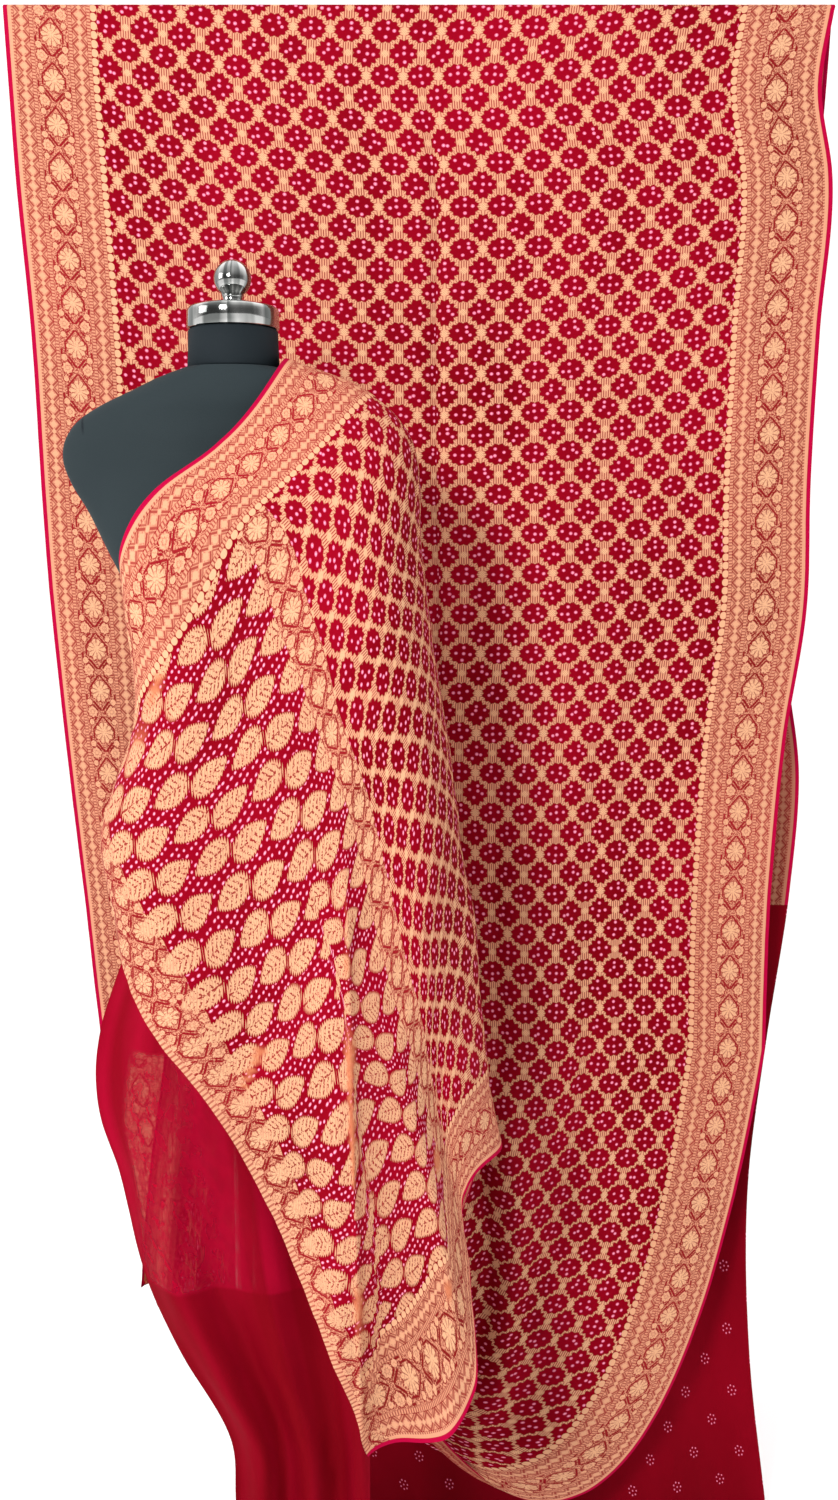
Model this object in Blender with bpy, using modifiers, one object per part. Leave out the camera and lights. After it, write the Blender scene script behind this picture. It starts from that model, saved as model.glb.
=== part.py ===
"""Bandhani sari cloth hung from its top edge and draped over a black dress form.

Metres, +Z up. The origin is the middle of the top edge, where the cloth folds over what holds it.
-Y is the shown side, +X is to the right of someone who faces it. Across the cloth, u runs from 0 at the
selvage that passes the neck to 1 at the other selvage. Along the cloth, the stretches follow one another:
pallu in front, over the shoulder, down behind the form, the slack loop, the hung panel and the back layer.
"""

import math
from collections import namedtuple

import bmesh
import bpy
import numpy as np

# ---------------------------------------------------------------- driving dimensions
CLOTH_THICK = 0.0016  # brocade with its raised gold weft
COLUMNS = 22  # quads across the cloth
FLOOR = -2.22  # what the stand rests on, below the top edge
FORM_X = -0.220  # upright axis of the dress form
FORM_Y = -0.300
RIDGE_Y = -0.300  # depth of the line where the drape turns from front to back
BACK_Y = -0.168  # depth of the cloth behind the form
TURN_Y = -0.070  # depth at which the loop comes back to the hung panel
TOP_TURN = 0.008  # radius of the fold at the top edge
RIDGE_FRONT_T = 0.80  # share of the pallu at which it starts to turn over the ridge
JOIN_DROP = 1.45  # drop at which the loop becomes the flat hung panel
BACK_DROP = 2.205  # drop of the cut end of the back layer
BACK_LAYER_Y = 0.052  # depth of the back layer
BACK_LAYER_DROP = 0.55  # drop at which it reaches that depth
RISER_FOLDS = 5  # upright folds of the cloth behind the form
RISER_DEEP = 0.020  # how far each stands out
LOOP_DEEP = 0.022  # how far the valleys of the loop stand out
PLAIN_COLUMNS = 12  # quads of the plain length
PLAIN_ROWS = 22
PLAIN_Y = -0.3972  # depth of the plain length
PLAIN_BACK = 0.045  # how far its left edge passes back round the form
TORSO_SIDES = 36
TORSO_SQUARE = 2.35  # 2 is an ellipse, more is squarer
NECK_RADIUS = 0.0530
NECK_TOP = -0.4740
NECK_FOOT = -0.5200
CAP_RADIUS = 0.0545
CAP_TOP = -0.4440
BALL_RADIUS = 0.0220
BALL_HEIGHT = -0.4150
POLE_RADIUS = 0.0150
COLLAR_RADIUS = 0.0260
COLLAR_TALL = 0.0400
COLLAR_BELOW = 0.0600  # below the torso
FOOT_RADIUS = 0.1500
FOOT_TALL = 0.0300
GAP = 0.0003  # between pieces that touch

# ---------------------------------------------------------------- tables, a row for each section or fold
# Selvages of the hung panel at each drop below the top edge.
Panel = namedtuple("Panel", "drop left right")
PANEL = [
    Panel(0.00, -0.560, 0.560),
    Panel(0.11, -0.555, 0.545),
    Panel(0.22, -0.550, 0.563),
    Panel(0.43, -0.535, 0.553),
    Panel(0.66, -0.525, 0.546),
    Panel(0.80, -0.518, 0.546),
    Panel(1.00, -0.502, 0.520),
    Panel(1.21, -0.483, 0.506),
    Panel(1.45, -0.462, 0.503),
]
# Edges of the back layer, whose plain end hangs free below the panel.
BACK_LAYER = [
    Panel(0.00, -0.560, 0.560),
    Panel(0.40, -0.525, 0.545),
    Panel(0.90, -0.490, 0.535),
    Panel(1.04, -0.485, 0.556),
    Panel(1.23, -0.470, 0.548),
    Panel(1.45, -0.440, 0.521),
    Panel(1.67, -0.400, 0.499),
    Panel(1.95, -0.330, 0.508),
    Panel(2.21, -0.255, 0.541),
]
# Lengthwise folds of the panel: place and width across it, how far forward, and the drops over which it grows.
Fold = namedtuple("Fold", "place width forward start full")
PANEL_FOLDS = [
    Fold(0.10, 0.11, 0.014, 0.30, 1.20),
    Fold(0.30, 0.10, -0.020, 0.25, 1.10),
    Fold(0.44, 0.07, 0.016, 0.30, 1.10),
    Fold(0.52, 0.05, -0.020, 0.25, 1.00),
    Fold(0.66, 0.10, 0.020, 0.40, 1.20),
    Fold(0.82, 0.08, -0.016, 0.50, 1.30),
    Fold(0.96, 0.07, 0.016, 0.60, 1.20),
]
BACK_FOLDS = [
    Fold(0.12, 0.10, -0.012, 0.60, 1.60),
    Fold(0.34, 0.09, 0.016, 0.60, 1.60),
    Fold(0.55, 0.10, -0.012, 0.60, 1.70),
    Fold(0.76, 0.09, 0.018, 0.60, 1.60),
    Fold(0.92, 0.06, -0.012, 0.80, 1.60),
]
# The pallu's cut end, across the cloth. Past the drape's outline the side is measured
# on round the form, towards the back.
Station = namedtuple("Station", "at side height")
PALLU_END = [
    Station(0.00, -0.560, -0.900),
    Station(0.27, -0.417, -1.173),
    Station(0.50, -0.250, -1.365),
    Station(0.72, -0.145, -1.575),
    Station(1.00, -0.059, -1.805),
]
# The line over which the drape turns back: along the shoulder, then down the drape's right edge.
RIDGE = [
    Station(0.00, -0.157, -0.507),
    Station(0.10, -0.057, -0.548),
    Station(0.16, -0.015, -0.590),
    Station(0.30, 0.004, -0.745),
    Station(0.55, 0.038, -1.000),
    Station(0.70, 0.065, -1.165),
    Station(0.90, 0.089, -1.390),
    Station(1.00, 0.105, -1.480),
]
# The neck selvage from the pallu's end to the shoulder.
NECK_EDGE = [
    Station(0.00, -0.560, -0.900),
    Station(0.42, -0.356, -0.742),
    Station(0.63, -0.297, -0.665),
    Station(0.81, -0.222, -0.606),
    Station(1.00, -0.157, -0.507),
]
# The lower selvage from the pallu's end to the drape's right edge, with the upright fold at 0.067.
LOWER_EDGE = [
    Station(0.00, -0.059, -1.805),
    Station(0.22, 0.037, -1.780),
    Station(0.34, 0.067, -1.730),
    Station(0.55, 0.064, -1.610),
    Station(0.78, 0.056, -1.515),
    Station(1.00, 0.105, -1.480),
]
# The left outline of the drape, the radius with which it passes round the form's side there, and how far
# forward its front lies, at each height.
Body = namedtuple("Body", "height outline turn front")
DRAPE = [
    Body(-1.85, -0.360, 0.100, -0.440),
    Body(-1.18, -0.362, 0.090, -0.446),
    Body(-1.06, -0.376, 0.090, -0.446),
    Body(-0.92, -0.334, 0.075, -0.444),
    Body(-0.80, -0.340, 0.060, -0.438),
    Body(-0.72, -0.347, 0.045, -0.426),
    Body(-0.60, -0.350, 0.030, -0.392),
    Body(-0.50, -0.350, 0.030, -0.358),
]
# Upright folds of the pallu: place and width in x, how far forward, and the heights over which each grows.
DropFold = namedtuple("DropFold", "place width forward start full")
DRAPE_FOLDS = [
    DropFold(-0.090, 0.030, 0.024, -0.90, -1.45),
    DropFold(-0.025, 0.030, -0.012, -1.00, -1.50),
    DropFold(-0.200, 0.040, -0.010, -0.85, -1.20),
    DropFold(0.040, 0.020, 0.010, -1.10, -1.50),
]
# Padded torso: half width, half depth and how far its middle stands forward, at each height.
Torso = namedtuple("Torso", "height half_width half_depth forward")
TORSO = [
    Torso(-0.520, 0.058, 0.056, 0.000),
    Torso(-0.529, 0.085, 0.058, 0.000),
    Torso(-0.545, 0.120, 0.060, 0.000),
    Torso(-0.562, 0.157, 0.060, 0.000),
    Torso(-0.578, 0.183, 0.058, 0.000),
    Torso(-0.600, 0.200, 0.057, 0.002),
    Torso(-0.625, 0.204, 0.058, 0.004),
    Torso(-0.652, 0.194, 0.064, 0.010),
    Torso(-0.685, 0.173, 0.078, 0.016),
    Torso(-0.730, 0.150, 0.090, 0.020),
    Torso(-0.770, 0.130, 0.092, 0.020),
    Torso(-0.810, 0.112, 0.086, 0.016),
    Torso(-0.870, 0.104, 0.078, 0.006),
    Torso(-0.940, 0.104, 0.076, 0.002),
    Torso(-1.010, 0.122, 0.082, 0.000),
    Torso(-1.090, 0.138, 0.092, 0.000),
    Torso(-1.180, 0.142, 0.096, 0.000),
    Torso(-1.260, 0.136, 0.090, 0.000),
]
# The plain crimson length: its two edges at each height.
Length = namedtuple("Length", "height left right")
PLAIN = [
    Length(-1.02, -0.318, -0.085),
    Length(-1.10, -0.338, -0.070),
    Length(-1.19, -0.345, -0.064),
    Length(-1.25, -0.368, -0.062),
    Length(-1.31, -0.388, -0.062),
    Length(-1.43, -0.392, -0.061),
    Length(-1.49, -0.369, -0.061),
    Length(-1.62, -0.328, -0.061),
    Length(-1.73, -0.280, -0.061),
    Length(-1.84, -0.227, -0.061),
    Length(-1.92, -0.220, -0.061),
    Length(-2.10, -0.214, -0.061),
]


# ---------------------------------------------------------------- small curve tools
def along(rows, key, value, at):
    """Smooth curve through a table's rows, read at one or more keys."""
    rows = sorted(rows, key=lambda row: getattr(row, key))
    x = np.array([getattr(row, key) for row in rows])
    y = np.array([getattr(row, value) for row in rows])
    step = np.diff(x)
    slope = np.diff(y) / step
    tangent = np.empty(len(x))
    tangent[0] = slope[0]
    tangent[-1] = slope[-1]
    tangent[1:-1] = (slope[:-1] * step[1:] + slope[1:] * step[:-1]) / (step[:-1] + step[1:])
    at = np.clip(at, x[0], x[-1])
    i = np.clip(np.searchsorted(x, at) - 1, 0, len(step) - 1)
    s = (at - x[i]) / step[i]
    return (
        (1 + 2 * s) * (1 - s) ** 2 * y[i]
        + s * (1 - s) ** 2 * step[i] * tangent[i]
        + s**2 * (3 - 2 * s) * y[i + 1]
        + s**2 * (s - 1) * step[i] * tangent[i + 1]
    )


def ramp(value, start, full):
    """0 at start, 1 at full, smooth between."""
    s = np.clip((value - start) / (full - start), 0.0, 1.0)
    return s * s * (3 - 2 * s)


def bell(value, place, width):
    return np.exp(-(((value - place) / width) ** 2))


def bezier(a, b, c, d, s):
    return (1 - s) ** 3 * a + 3 * s * (1 - s) ** 2 * b + 3 * s**2 * (1 - s) * c + s**3 * d


# ---------------------------------------------------------------- the cloth's stretches, each a function of u
def pallu_flat(u, t):
    """Side and height of the pallu, from its cut end (t = 0) to the ridge (t = 1), between its four edges."""
    result = []
    for axis in ("side", "height"):
        end = along(PALLU_END, "at", axis, u)
        ridge = along(RIDGE, "at", axis, u)
        neck = along(NECK_EDGE, "at", axis, t)
        lower = along(LOWER_EDGE, "at", axis, t)
        c00 = getattr(PALLU_END[0], axis)
        c10 = getattr(PALLU_END[-1], axis)
        c01 = getattr(RIDGE[0], axis)
        c11 = getattr(RIDGE[-1], axis)
        corners = (1 - u) * (1 - t) * c00 + u * (1 - t) * c10 + (1 - u) * t * c01 + u * t * c11
        result.append((1 - t) * end + t * ridge + (1 - u) * neck + u * lower - corners)
    return result


def front_point(u, t):
    """Point of the pallu and the front drape."""
    side, height = pallu_flat(u, t)
    outline = along(DRAPE, "height", "outline", height)
    front = along(DRAPE, "height", "front", height)
    turn = along(DRAPE, "height", "turn", height)
    past = max(outline + turn - side, 0.0)
    angle = min(past / turn, math.pi / 2)
    x = max(side, outline + turn) - turn * math.sin(angle)
    y = front + turn * (1 - math.cos(angle)) + past - turn * angle
    for fold in DRAPE_FOLDS:
        grow = ramp(height, fold.start, fold.full)
        y -= fold.forward * bell(side, fold.place, fold.width) * grow
    step_back = 0.075 * ramp(u, 0.50, 1.0) * ramp(t, 0.36, 0.66)
    return x, y + step_back, height


def over_ridge_front(u, s):
    """From the front drape (s = 0) up to the ridge (s = 1), as a quarter turn."""
    start = np.array(front_point(u, RIDGE_FRONT_T))
    before = np.array(front_point(u, RIDGE_FRONT_T - 0.04))
    end = np.array([along(RIDGE, "at", "side", u), RIDGE_Y, along(RIDGE, "at", "height", u)])
    heading = (start - before) / np.linalg.norm(start - before)
    reach = np.linalg.norm(end - start)
    arrive = np.array([0.0, 1.0, 0.0])
    return bezier(start, start + heading * reach * 0.40, end - arrive * reach * 0.36, end, s)


def turn_back(u):
    """Where the cloth behind the form comes down to the loop's turn."""
    return -0.39 + 0.36 * u, -1.80 - 0.10 * u


def behind_form(u, s):
    """From the ridge (s = 0) down behind the form to the loop's turn (s = 1)."""
    start = np.array([along(RIDGE, "at", "side", u), RIDGE_Y, along(RIDGE, "at", "height", u)])
    low_x, low_z = turn_back(u)
    end = np.array([low_x, (BACK_Y + TURN_Y) / 2, low_z])
    hang = 0.30 * (start[2] - end[2]) + 0.20 * (1 - u)
    first = np.array([start[0], BACK_Y + 0.075, start[2]])
    second = np.array([end[0] + 0.05, BACK_Y - 0.02, end[2] + hang])
    point = bezier(start, first, second, end, s)
    middle = np.sin(math.pi * s) ** 2
    point[1] += RISER_DEEP * middle * math.sin(2 * math.pi * RISER_FOLDS * u)
    return point


def loop_and_rise(u, s):
    """From the loop's turn (s = 0) round the slack swag and up to the flat panel (s = 1)."""
    low_x, low_z = turn_back(u)
    top_x = panel_x(PANEL, u, JOIN_DROP)
    top_y = panel_y(u, JOIN_DROP)
    out = np.array([0.24 * u - 0.01, 0.0, 0.12 - 0.58 * u**1.2])
    drop = 0.12 + 0.60 * u**1.5
    start = np.array([low_x, (BACK_Y + TURN_Y) / 2, low_z])
    end = np.array([top_x, top_y, -JOIN_DROP])
    first = start + out + np.array([0.0, 0.075, 0.0])
    second = end - np.array([0.024 * u, 0.0, drop])
    point = bezier(start, first, second, end, s)
    middle = math.sin(math.pi * s)
    valley = bell(u, 0.66, 0.13) - 0.8 * bell(u, 0.90, 0.10) - 0.6 * bell(u, 0.40, 0.12)
    point[1] += LOOP_DEEP * middle * valley
    return point


def panel_x(rows, u, drop):
    left = along(rows, "drop", "left", drop)
    right = along(rows, "drop", "right", drop)
    return left + (right - left) * u


def panel_y(u, drop):
    forward = sum(f.forward * bell(u, f.place, f.width) * ramp(drop, f.start, f.full) for f in PANEL_FOLDS)
    return -forward


def hung_panel(u, s):
    """The flat hung panel, from the loop (s = 0) up to the top edge (s = 1)."""
    drop = JOIN_DROP * (1 - s) + TOP_TURN * s
    return panel_x(PANEL, u, drop), panel_y(u, drop), -drop


def over_top(u, s):
    """Half turn over what holds the top edge."""
    angle = math.pi * s
    x = panel_x(PANEL, u, 0.0)
    return x, TOP_TURN * (1 - math.cos(angle)), -TOP_TURN + TOP_TURN * math.sin(angle)


def back_layer(u, s):
    """The layer behind, from the top edge (s = 0) down to the cut end of the plain length (s = 1)."""
    drop = TOP_TURN * (1 - s) + BACK_DROP * s
    away = 2 * TOP_TURN + (BACK_LAYER_Y - 2 * TOP_TURN) * ramp(drop, 0.0, BACK_LAYER_DROP)
    forward = sum(f.forward * bell(u, f.place, f.width) * ramp(drop, f.start, f.full) for f in BACK_FOLDS)
    return panel_x(BACK_LAYER, u, drop), away - forward, -drop


# Each stretch of the cloth in turn: its function, the values between which it runs, and its rows of quads.
Stretch = namedtuple("Stretch", "shape start end rows")
STRETCHES = [
    Stretch(front_point, 0.0, RIDGE_FRONT_T, 14),
    Stretch(over_ridge_front, 0.0, 1.0, 5),
    Stretch(behind_form, 0.0, 1.0, 14),
    Stretch(loop_and_rise, 0.0, 1.0, 16),
    Stretch(hung_panel, 0.0, 1.0, 13),
    Stretch(over_top, 0.0, 1.0, 4),
    Stretch(back_layer, 0.0, 1.0, 17),
]


def cloth_rows(stretches):
    """Rows of points, one row after another along the cloth, with no row twice where two stretches meet."""
    across = np.linspace(0.0, 1.0, COLUMNS + 1)
    rows = []
    for number, stretch in enumerate(stretches):
        steps = np.linspace(stretch.start, stretch.end, stretch.rows + 1)
        for s in steps[(1 if number else 0) :]:
            rows.append([tuple(float(c) for c in stretch.shape(u, s)) for u in across])
    return rows


# ---------------------------------------------------------------- building
def clear_scene():
    for obj in list(bpy.data.objects):
        bpy.data.objects.remove(obj)


def material(name, colour, roughness, metallic=0.0):
    made = bpy.data.materials.new(name)
    made.use_nodes = True
    shader = made.node_tree.nodes["Principled BSDF"]
    shader.inputs["Base Color"].default_value = (*colour, 1.0)
    shader.inputs["Roughness"].default_value = roughness
    shader.inputs["Metallic"].default_value = metallic
    return made


def add_object(name, mesh, collection, finish):
    obj = bpy.data.objects.new(name, mesh)
    collection.objects.link(obj)
    mesh.materials.append(finish)
    mesh.shade_smooth()
    return obj


def sheet(name, rows, thickness, collection, finish):
    """A grid of quads bent to the given rows of points, made solid."""
    mesh = bpy.data.meshes.new(name)
    grid = bmesh.new()
    bmesh.ops.create_grid(grid, x_segments=len(rows[0]) - 1, y_segments=len(rows) - 1, size=1.0)
    grid.verts.ensure_lookup_table()
    for vert, place in zip(grid.verts, (point for row in rows for point in row)):
        vert.co = place
    grid.to_mesh(mesh)
    grid.free()
    obj = add_object(name, mesh, collection, finish)
    solid = obj.modifiers.new("Thickness", "SOLIDIFY")
    solid.thickness = thickness
    solid.offset = 0.0
    return obj


def turned(name, profile, collection, finish, centre, segments=32):
    """A profile of (radius, height), top to bottom on its outer side, turned about the upright axis."""
    mesh = bpy.data.meshes.new(name)
    line = bmesh.new()
    verts = [line.verts.new((radius, 0.0, height)) for radius, height in profile]
    for a, b in zip(verts, verts[1:]):
        line.edges.new((a, b))
    line.to_mesh(mesh)
    line.free()
    obj = add_object(name, mesh, collection, finish)
    obj.location = centre
    screw = obj.modifiers.new("Turn", "SCREW")
    screw.steps = segments
    screw.render_steps = segments
    screw.use_merge_vertices = True
    screw.merge_threshold = 0.0001
    screw.use_smooth_shade = True
    return obj


def torso_section(row):
    """Points round one level of the torso."""
    points = []
    for i in range(TORSO_SIDES):
        angle = 2 * math.pi * i / TORSO_SIDES
        c = math.cos(angle)
        s = math.sin(angle)
        x = math.copysign(abs(c) ** (2 / TORSO_SQUARE), c) * row.half_width
        y = math.copysign(abs(s) ** (2 / TORSO_SQUARE), s) * row.half_depth
        points.append((FORM_X + x, FORM_Y - row.forward + y, row.height))
    return points


def torso(name, collection, finish):
    """The padded torso, a loft through its levels, closed above and below."""
    mesh = bpy.data.meshes.new(name)
    shape = bmesh.new()
    rings = [[shape.verts.new(point) for point in torso_section(row)] for row in TORSO]
    for upper, lower in zip(rings, rings[1:]):
        for i in range(TORSO_SIDES):
            j = (i + 1) % TORSO_SIDES
            shape.faces.new((upper[i], lower[i], lower[j], upper[j]))
    shape.faces.new(rings[0])
    shape.faces.new(rings[-1][::-1])
    bmesh.ops.recalc_face_normals(shape, faces=shape.faces)
    shape.to_mesh(mesh)
    shape.free()
    return add_object(name, mesh, collection, finish)


def plain_rows():
    """The plain length hangs in front of the form, in soft upright folds, its left side passing back a little."""
    rows = []
    for height in np.linspace(PLAIN[0].height, PLAIN[-1].height, PLAIN_ROWS + 1):
        left = along(PLAIN, "height", "left", height)
        right = along(PLAIN, "height", "right", height)
        low = ramp(height, -1.25, -1.9)
        row = []
        for u in np.linspace(0.0, 1.0, PLAIN_COLUMNS + 1):
            x = left + (right - left) * u
            pass_back = PLAIN_BACK * ramp(x, -0.290, -0.385)
            wave = 0.010 * low * math.sin(2 * math.pi * (2.2 * u + 0.15))
            row.append((float(x), float(PLAIN_Y + pass_back + wave + 0.02 * low), float(height)))
        rows.append(row)
    return rows


def dress_form(collection):
    black = material("black_jersey", (0.022, 0.024, 0.028), 0.75)
    chrome = material("chrome", (0.80, 0.80, 0.80), 0.12, 1.0)
    torso("form_torso", collection, black)
    axis = (FORM_X, FORM_Y, 0.0)
    neck = [
        (0.0, NECK_TOP),
        (NECK_RADIUS - 0.002, NECK_TOP),
        (NECK_RADIUS, NECK_TOP - 0.002),
        (NECK_RADIUS + 0.0005, (NECK_TOP + NECK_FOOT) / 2),
        (NECK_RADIUS + 0.0015, NECK_FOOT + 0.002),
        (NECK_RADIUS, NECK_FOOT + GAP),
        (0.0, NECK_FOOT + GAP),
    ]
    turned("form_neck", neck, collection, black, axis)
    cap_foot = NECK_TOP + GAP
    cap = [
        (0.0, CAP_TOP),
        (0.0150, CAP_TOP - 0.0004),
        (CAP_RADIUS - 0.0120, CAP_TOP - 0.0020),
        (CAP_RADIUS - 0.0030, CAP_TOP - 0.0045),
        (CAP_RADIUS - 0.0006, CAP_TOP - 0.0070),
        (CAP_RADIUS, CAP_TOP - 0.0100),
        (CAP_RADIUS, cap_foot + 0.0015),
        (CAP_RADIUS - 0.0015, cap_foot),
        (0.0, cap_foot),
    ]
    turned("neck_cap", cap, collection, chrome, axis)
    foot = CAP_TOP + GAP
    ball = [(0.0, BALL_HEIGHT + BALL_RADIUS)]
    for degrees in range(75, -60, -15):
        angle = math.radians(degrees)
        ball.append((BALL_RADIUS * math.cos(angle), BALL_HEIGHT + BALL_RADIUS * math.sin(angle)))
    ball += [(0.0115, foot + 0.0050), (0.0140, foot), (0.0, foot)]
    turned("finial_ball", ball, collection, chrome, axis, 24)
    pole_top = TORSO[-1].height - GAP
    base_top = FLOOR + FOOT_TALL
    pole = [(0.0, pole_top), (POLE_RADIUS, pole_top), (POLE_RADIUS, base_top + GAP), (0.0, base_top + GAP)]
    turned("stand_pole", pole, collection, chrome, axis, 24)
    collar_top = pole_top - COLLAR_BELOW
    collar_foot = collar_top - COLLAR_TALL
    collar = [
        (POLE_RADIUS + GAP, collar_top),
        (COLLAR_RADIUS - 0.0020, collar_top),
        (COLLAR_RADIUS, collar_top - 0.0030),
        (COLLAR_RADIUS, collar_foot + 0.0030),
        (COLLAR_RADIUS - 0.0020, collar_foot),
        (POLE_RADIUS + GAP, collar_foot),
        (POLE_RADIUS + GAP, collar_top),
    ]
    turned("pole_collar", collar, collection, chrome, axis, 24)
    base = [
        (0.0, base_top),
        (0.0300, base_top),
        (0.0360, base_top - 0.0120),
        (FOOT_RADIUS - 0.0150, base_top - 0.0180),
        (FOOT_RADIUS, base_top - 0.0230),
        (FOOT_RADIUS, FLOOR),
        (0.0, FLOOR),
    ]
    turned("stand_base", base, collection, chrome, axis, 40)


def main():
    clear_scene()
    parts = bpy.data.collections.new("bandhani_cloth")
    bpy.context.scene.collection.children.link(parts)
    brocade = material("crimson_and_gold", (0.55, 0.16, 0.11), 0.65)
    sheer = material("plain_crimson", (0.38, 0.0, 0.03), 0.6)
    sheet("sari_cloth", cloth_rows(STRETCHES), CLOTH_THICK, parts, brocade)
    sheet("plain_length", plain_rows(), CLOTH_THICK, parts, sheer)
    dress_form(parts)


main()
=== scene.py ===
"""A crimson tie-dyed and gold-brocaded sari, hung, looped and draped over the shoulder of a black dress form.

Metres, +Z up, -Y the shown side. The origin is the middle of the top edge. Across the cloth, u runs from 0 at
the selvage that passes the neck to 1 at the other. Along it, v runs in metres from the pallu's cut end.
"""

import math
from collections import namedtuple

import bpy
import numpy as np
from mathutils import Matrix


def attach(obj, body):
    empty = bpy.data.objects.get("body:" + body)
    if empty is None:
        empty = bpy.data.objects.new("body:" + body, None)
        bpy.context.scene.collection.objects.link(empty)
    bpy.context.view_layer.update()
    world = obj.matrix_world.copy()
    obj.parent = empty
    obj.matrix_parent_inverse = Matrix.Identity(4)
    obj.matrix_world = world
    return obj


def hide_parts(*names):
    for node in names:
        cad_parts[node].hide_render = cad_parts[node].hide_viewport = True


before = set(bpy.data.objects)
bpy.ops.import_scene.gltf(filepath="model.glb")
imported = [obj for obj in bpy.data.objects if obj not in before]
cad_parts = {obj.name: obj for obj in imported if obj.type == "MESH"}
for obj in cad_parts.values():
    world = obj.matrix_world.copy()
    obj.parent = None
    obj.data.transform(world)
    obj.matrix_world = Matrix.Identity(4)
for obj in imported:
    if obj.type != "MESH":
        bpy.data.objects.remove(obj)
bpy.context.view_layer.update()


# ---------------------------------------------------------------- the view
# A camera held at chest height, two metres in front of the cloth and tipped a little down, with a lens that
# takes in the whole drop of the cloth.
CAMERA_DISTANCE = 2.1234
CAMERA_DROP = 0.7508
CAMERA_TIPPED = math.radians(7)


def put_in_scene(name, data, place=(0.0, 0.0, 0.0), turned=(0.0, 0.0, 0.0)):
    obj = bpy.data.objects.new(name, data)
    bpy.context.scene.collection.objects.link(obj)
    obj.location = place
    obj.rotation_euler = turned
    return obj


camera = put_in_scene(
    "photo_camera",
    bpy.data.cameras.new("photo_camera"),
    place=(0.0, -CAMERA_DISTANCE, -CAMERA_DROP),
    turned=(math.pi / 2 - CAMERA_TIPPED, 0.0, 0.0),
)
camera.data.sensor_fit = "VERTICAL"
camera.data.sensor_height = 36.0
camera.data.lens = 36.0
camera.data.clip_start = 0.05
bpy.context.scene.camera = camera


# ---------------------------------------------------------------- how the cloth hangs
# One sari length, 1.12 m wide, hangs from its top edge. Its front layer falls to a slack loop near the
# floor, rises behind the dress form, goes over the shoulder and ends in front as the pallu. The layer behind
# falls straight and ends in a plain crimson length. Each stretch is a function of u and of a step s or t.
CLOTH_WIDTH = 1.12
CLOTH_THICK = 0.0009
FLOOR = -2.22
FORM_X = -0.220
FORM_Y = -0.300
RIDGE_Y = -0.300
BACK_Y = -0.168
STEP_BACK = 0.075  # how far the drape's lower right steps back to the cloth behind it
TURN_Y = -0.119
TURN_LEFT = -0.39
TURN_WIDE = 0.36
TURN_HEIGHT = -1.80
TOP_TURN = 0.008
RIDGE_FRONT_T = 0.80
JOIN_DROP = 1.45
BACK_DROP = 2.205
BACK_LAYER_Y = 0.052
BACK_LAYER_DROP = 0.55
RISER_FOLDS = 9
RISER_DEEP = 0.020
LOOP_DEEP = 0.034


def table(names, *rows):
    """Rows of values that are read by these names."""
    row = namedtuple("Row", names)
    return [row(*values) for values in rows]


PANEL_EDGES = "drop left right"
PANEL = table(
    PANEL_EDGES,
    (0.00, -0.560, 0.560), (0.11, -0.555, 0.545), (0.22, -0.550, 0.563), (0.43, -0.535, 0.553),
    (0.66, -0.525, 0.546), (0.80, -0.518, 0.546), (1.00, -0.502, 0.520), (1.21, -0.483, 0.506),
    (1.45, -0.462, 0.503),
)
BACK_LAYER = table(
    PANEL_EDGES,
    (0.00, -0.560, 0.560), (0.40, -0.525, 0.545), (0.90, -0.490, 0.535), (1.04, -0.485, 0.556),
    (1.23, -0.470, 0.548), (1.45, -0.440, 0.521), (1.67, -0.400, 0.499), (1.95, -0.330, 0.508),
    (2.21, -0.255, 0.541),
)
FOLD = "place width forward start full"
PANEL_FOLDS = table(
    FOLD,
    (0.10, 0.11, 0.014, 0.30, 1.20), (0.30, 0.10, -0.020, 0.25, 1.10), (0.44, 0.07, 0.016, 0.30, 1.10),
    (0.52, 0.05, -0.020, 0.25, 1.00), (0.514, 0.009, -0.007, 0.05, 0.30), (0.66, 0.10, 0.020, 0.40, 1.20),
    (0.60, 0.016, -0.008, 0.75, 1.30), (0.74, 0.018, -0.009, 0.65, 1.30), (0.88, 0.016, -0.007, 0.70, 1.30),
    (0.82, 0.08, -0.016, 0.50, 1.30), (0.96, 0.07, 0.016, 0.60, 1.20),
)
BACK_FOLDS = table(
    FOLD,
    (0.12, 0.10, -0.012, 0.60, 1.60), (0.34, 0.09, 0.016, 0.60, 1.60), (0.55, 0.10, -0.012, 0.60, 1.70),
    (0.76, 0.09, 0.018, 0.60, 1.60), (0.92, 0.06, -0.012, 0.80, 1.60),
)
DRAPE_FOLDS = table(
    FOLD,
    (-0.090, 0.030, 0.024, -0.90, -1.45), (-0.025, 0.030, -0.012, -1.00, -1.50),
    (-0.200, 0.040, -0.010, -0.85, -1.20), (0.040, 0.020, 0.010, -1.10, -1.50),
)
STATION = "at side height"
PALLU_END = table(
    STATION,
    (0.00, -0.560, -0.900), (0.27, -0.417, -1.173), (0.50, -0.250, -1.365), (0.72, -0.145, -1.575),
    (1.00, -0.059, -1.805),
)
RIDGE = table(
    STATION,
    (0.00, -0.157, -0.507), (0.10, -0.057, -0.548), (0.16, -0.015, -0.590), (0.30, 0.004, -0.745),
    (0.55, 0.038, -1.000), (0.70, 0.065, -1.165), (0.90, 0.089, -1.390), (1.00, 0.105, -1.480),
)
NECK_EDGE = table(
    STATION,
    (0.00, -0.560, -0.900), (0.42, -0.356, -0.742), (0.63, -0.297, -0.665), (0.81, -0.222, -0.606),
    (1.00, -0.157, -0.507),
)
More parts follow.
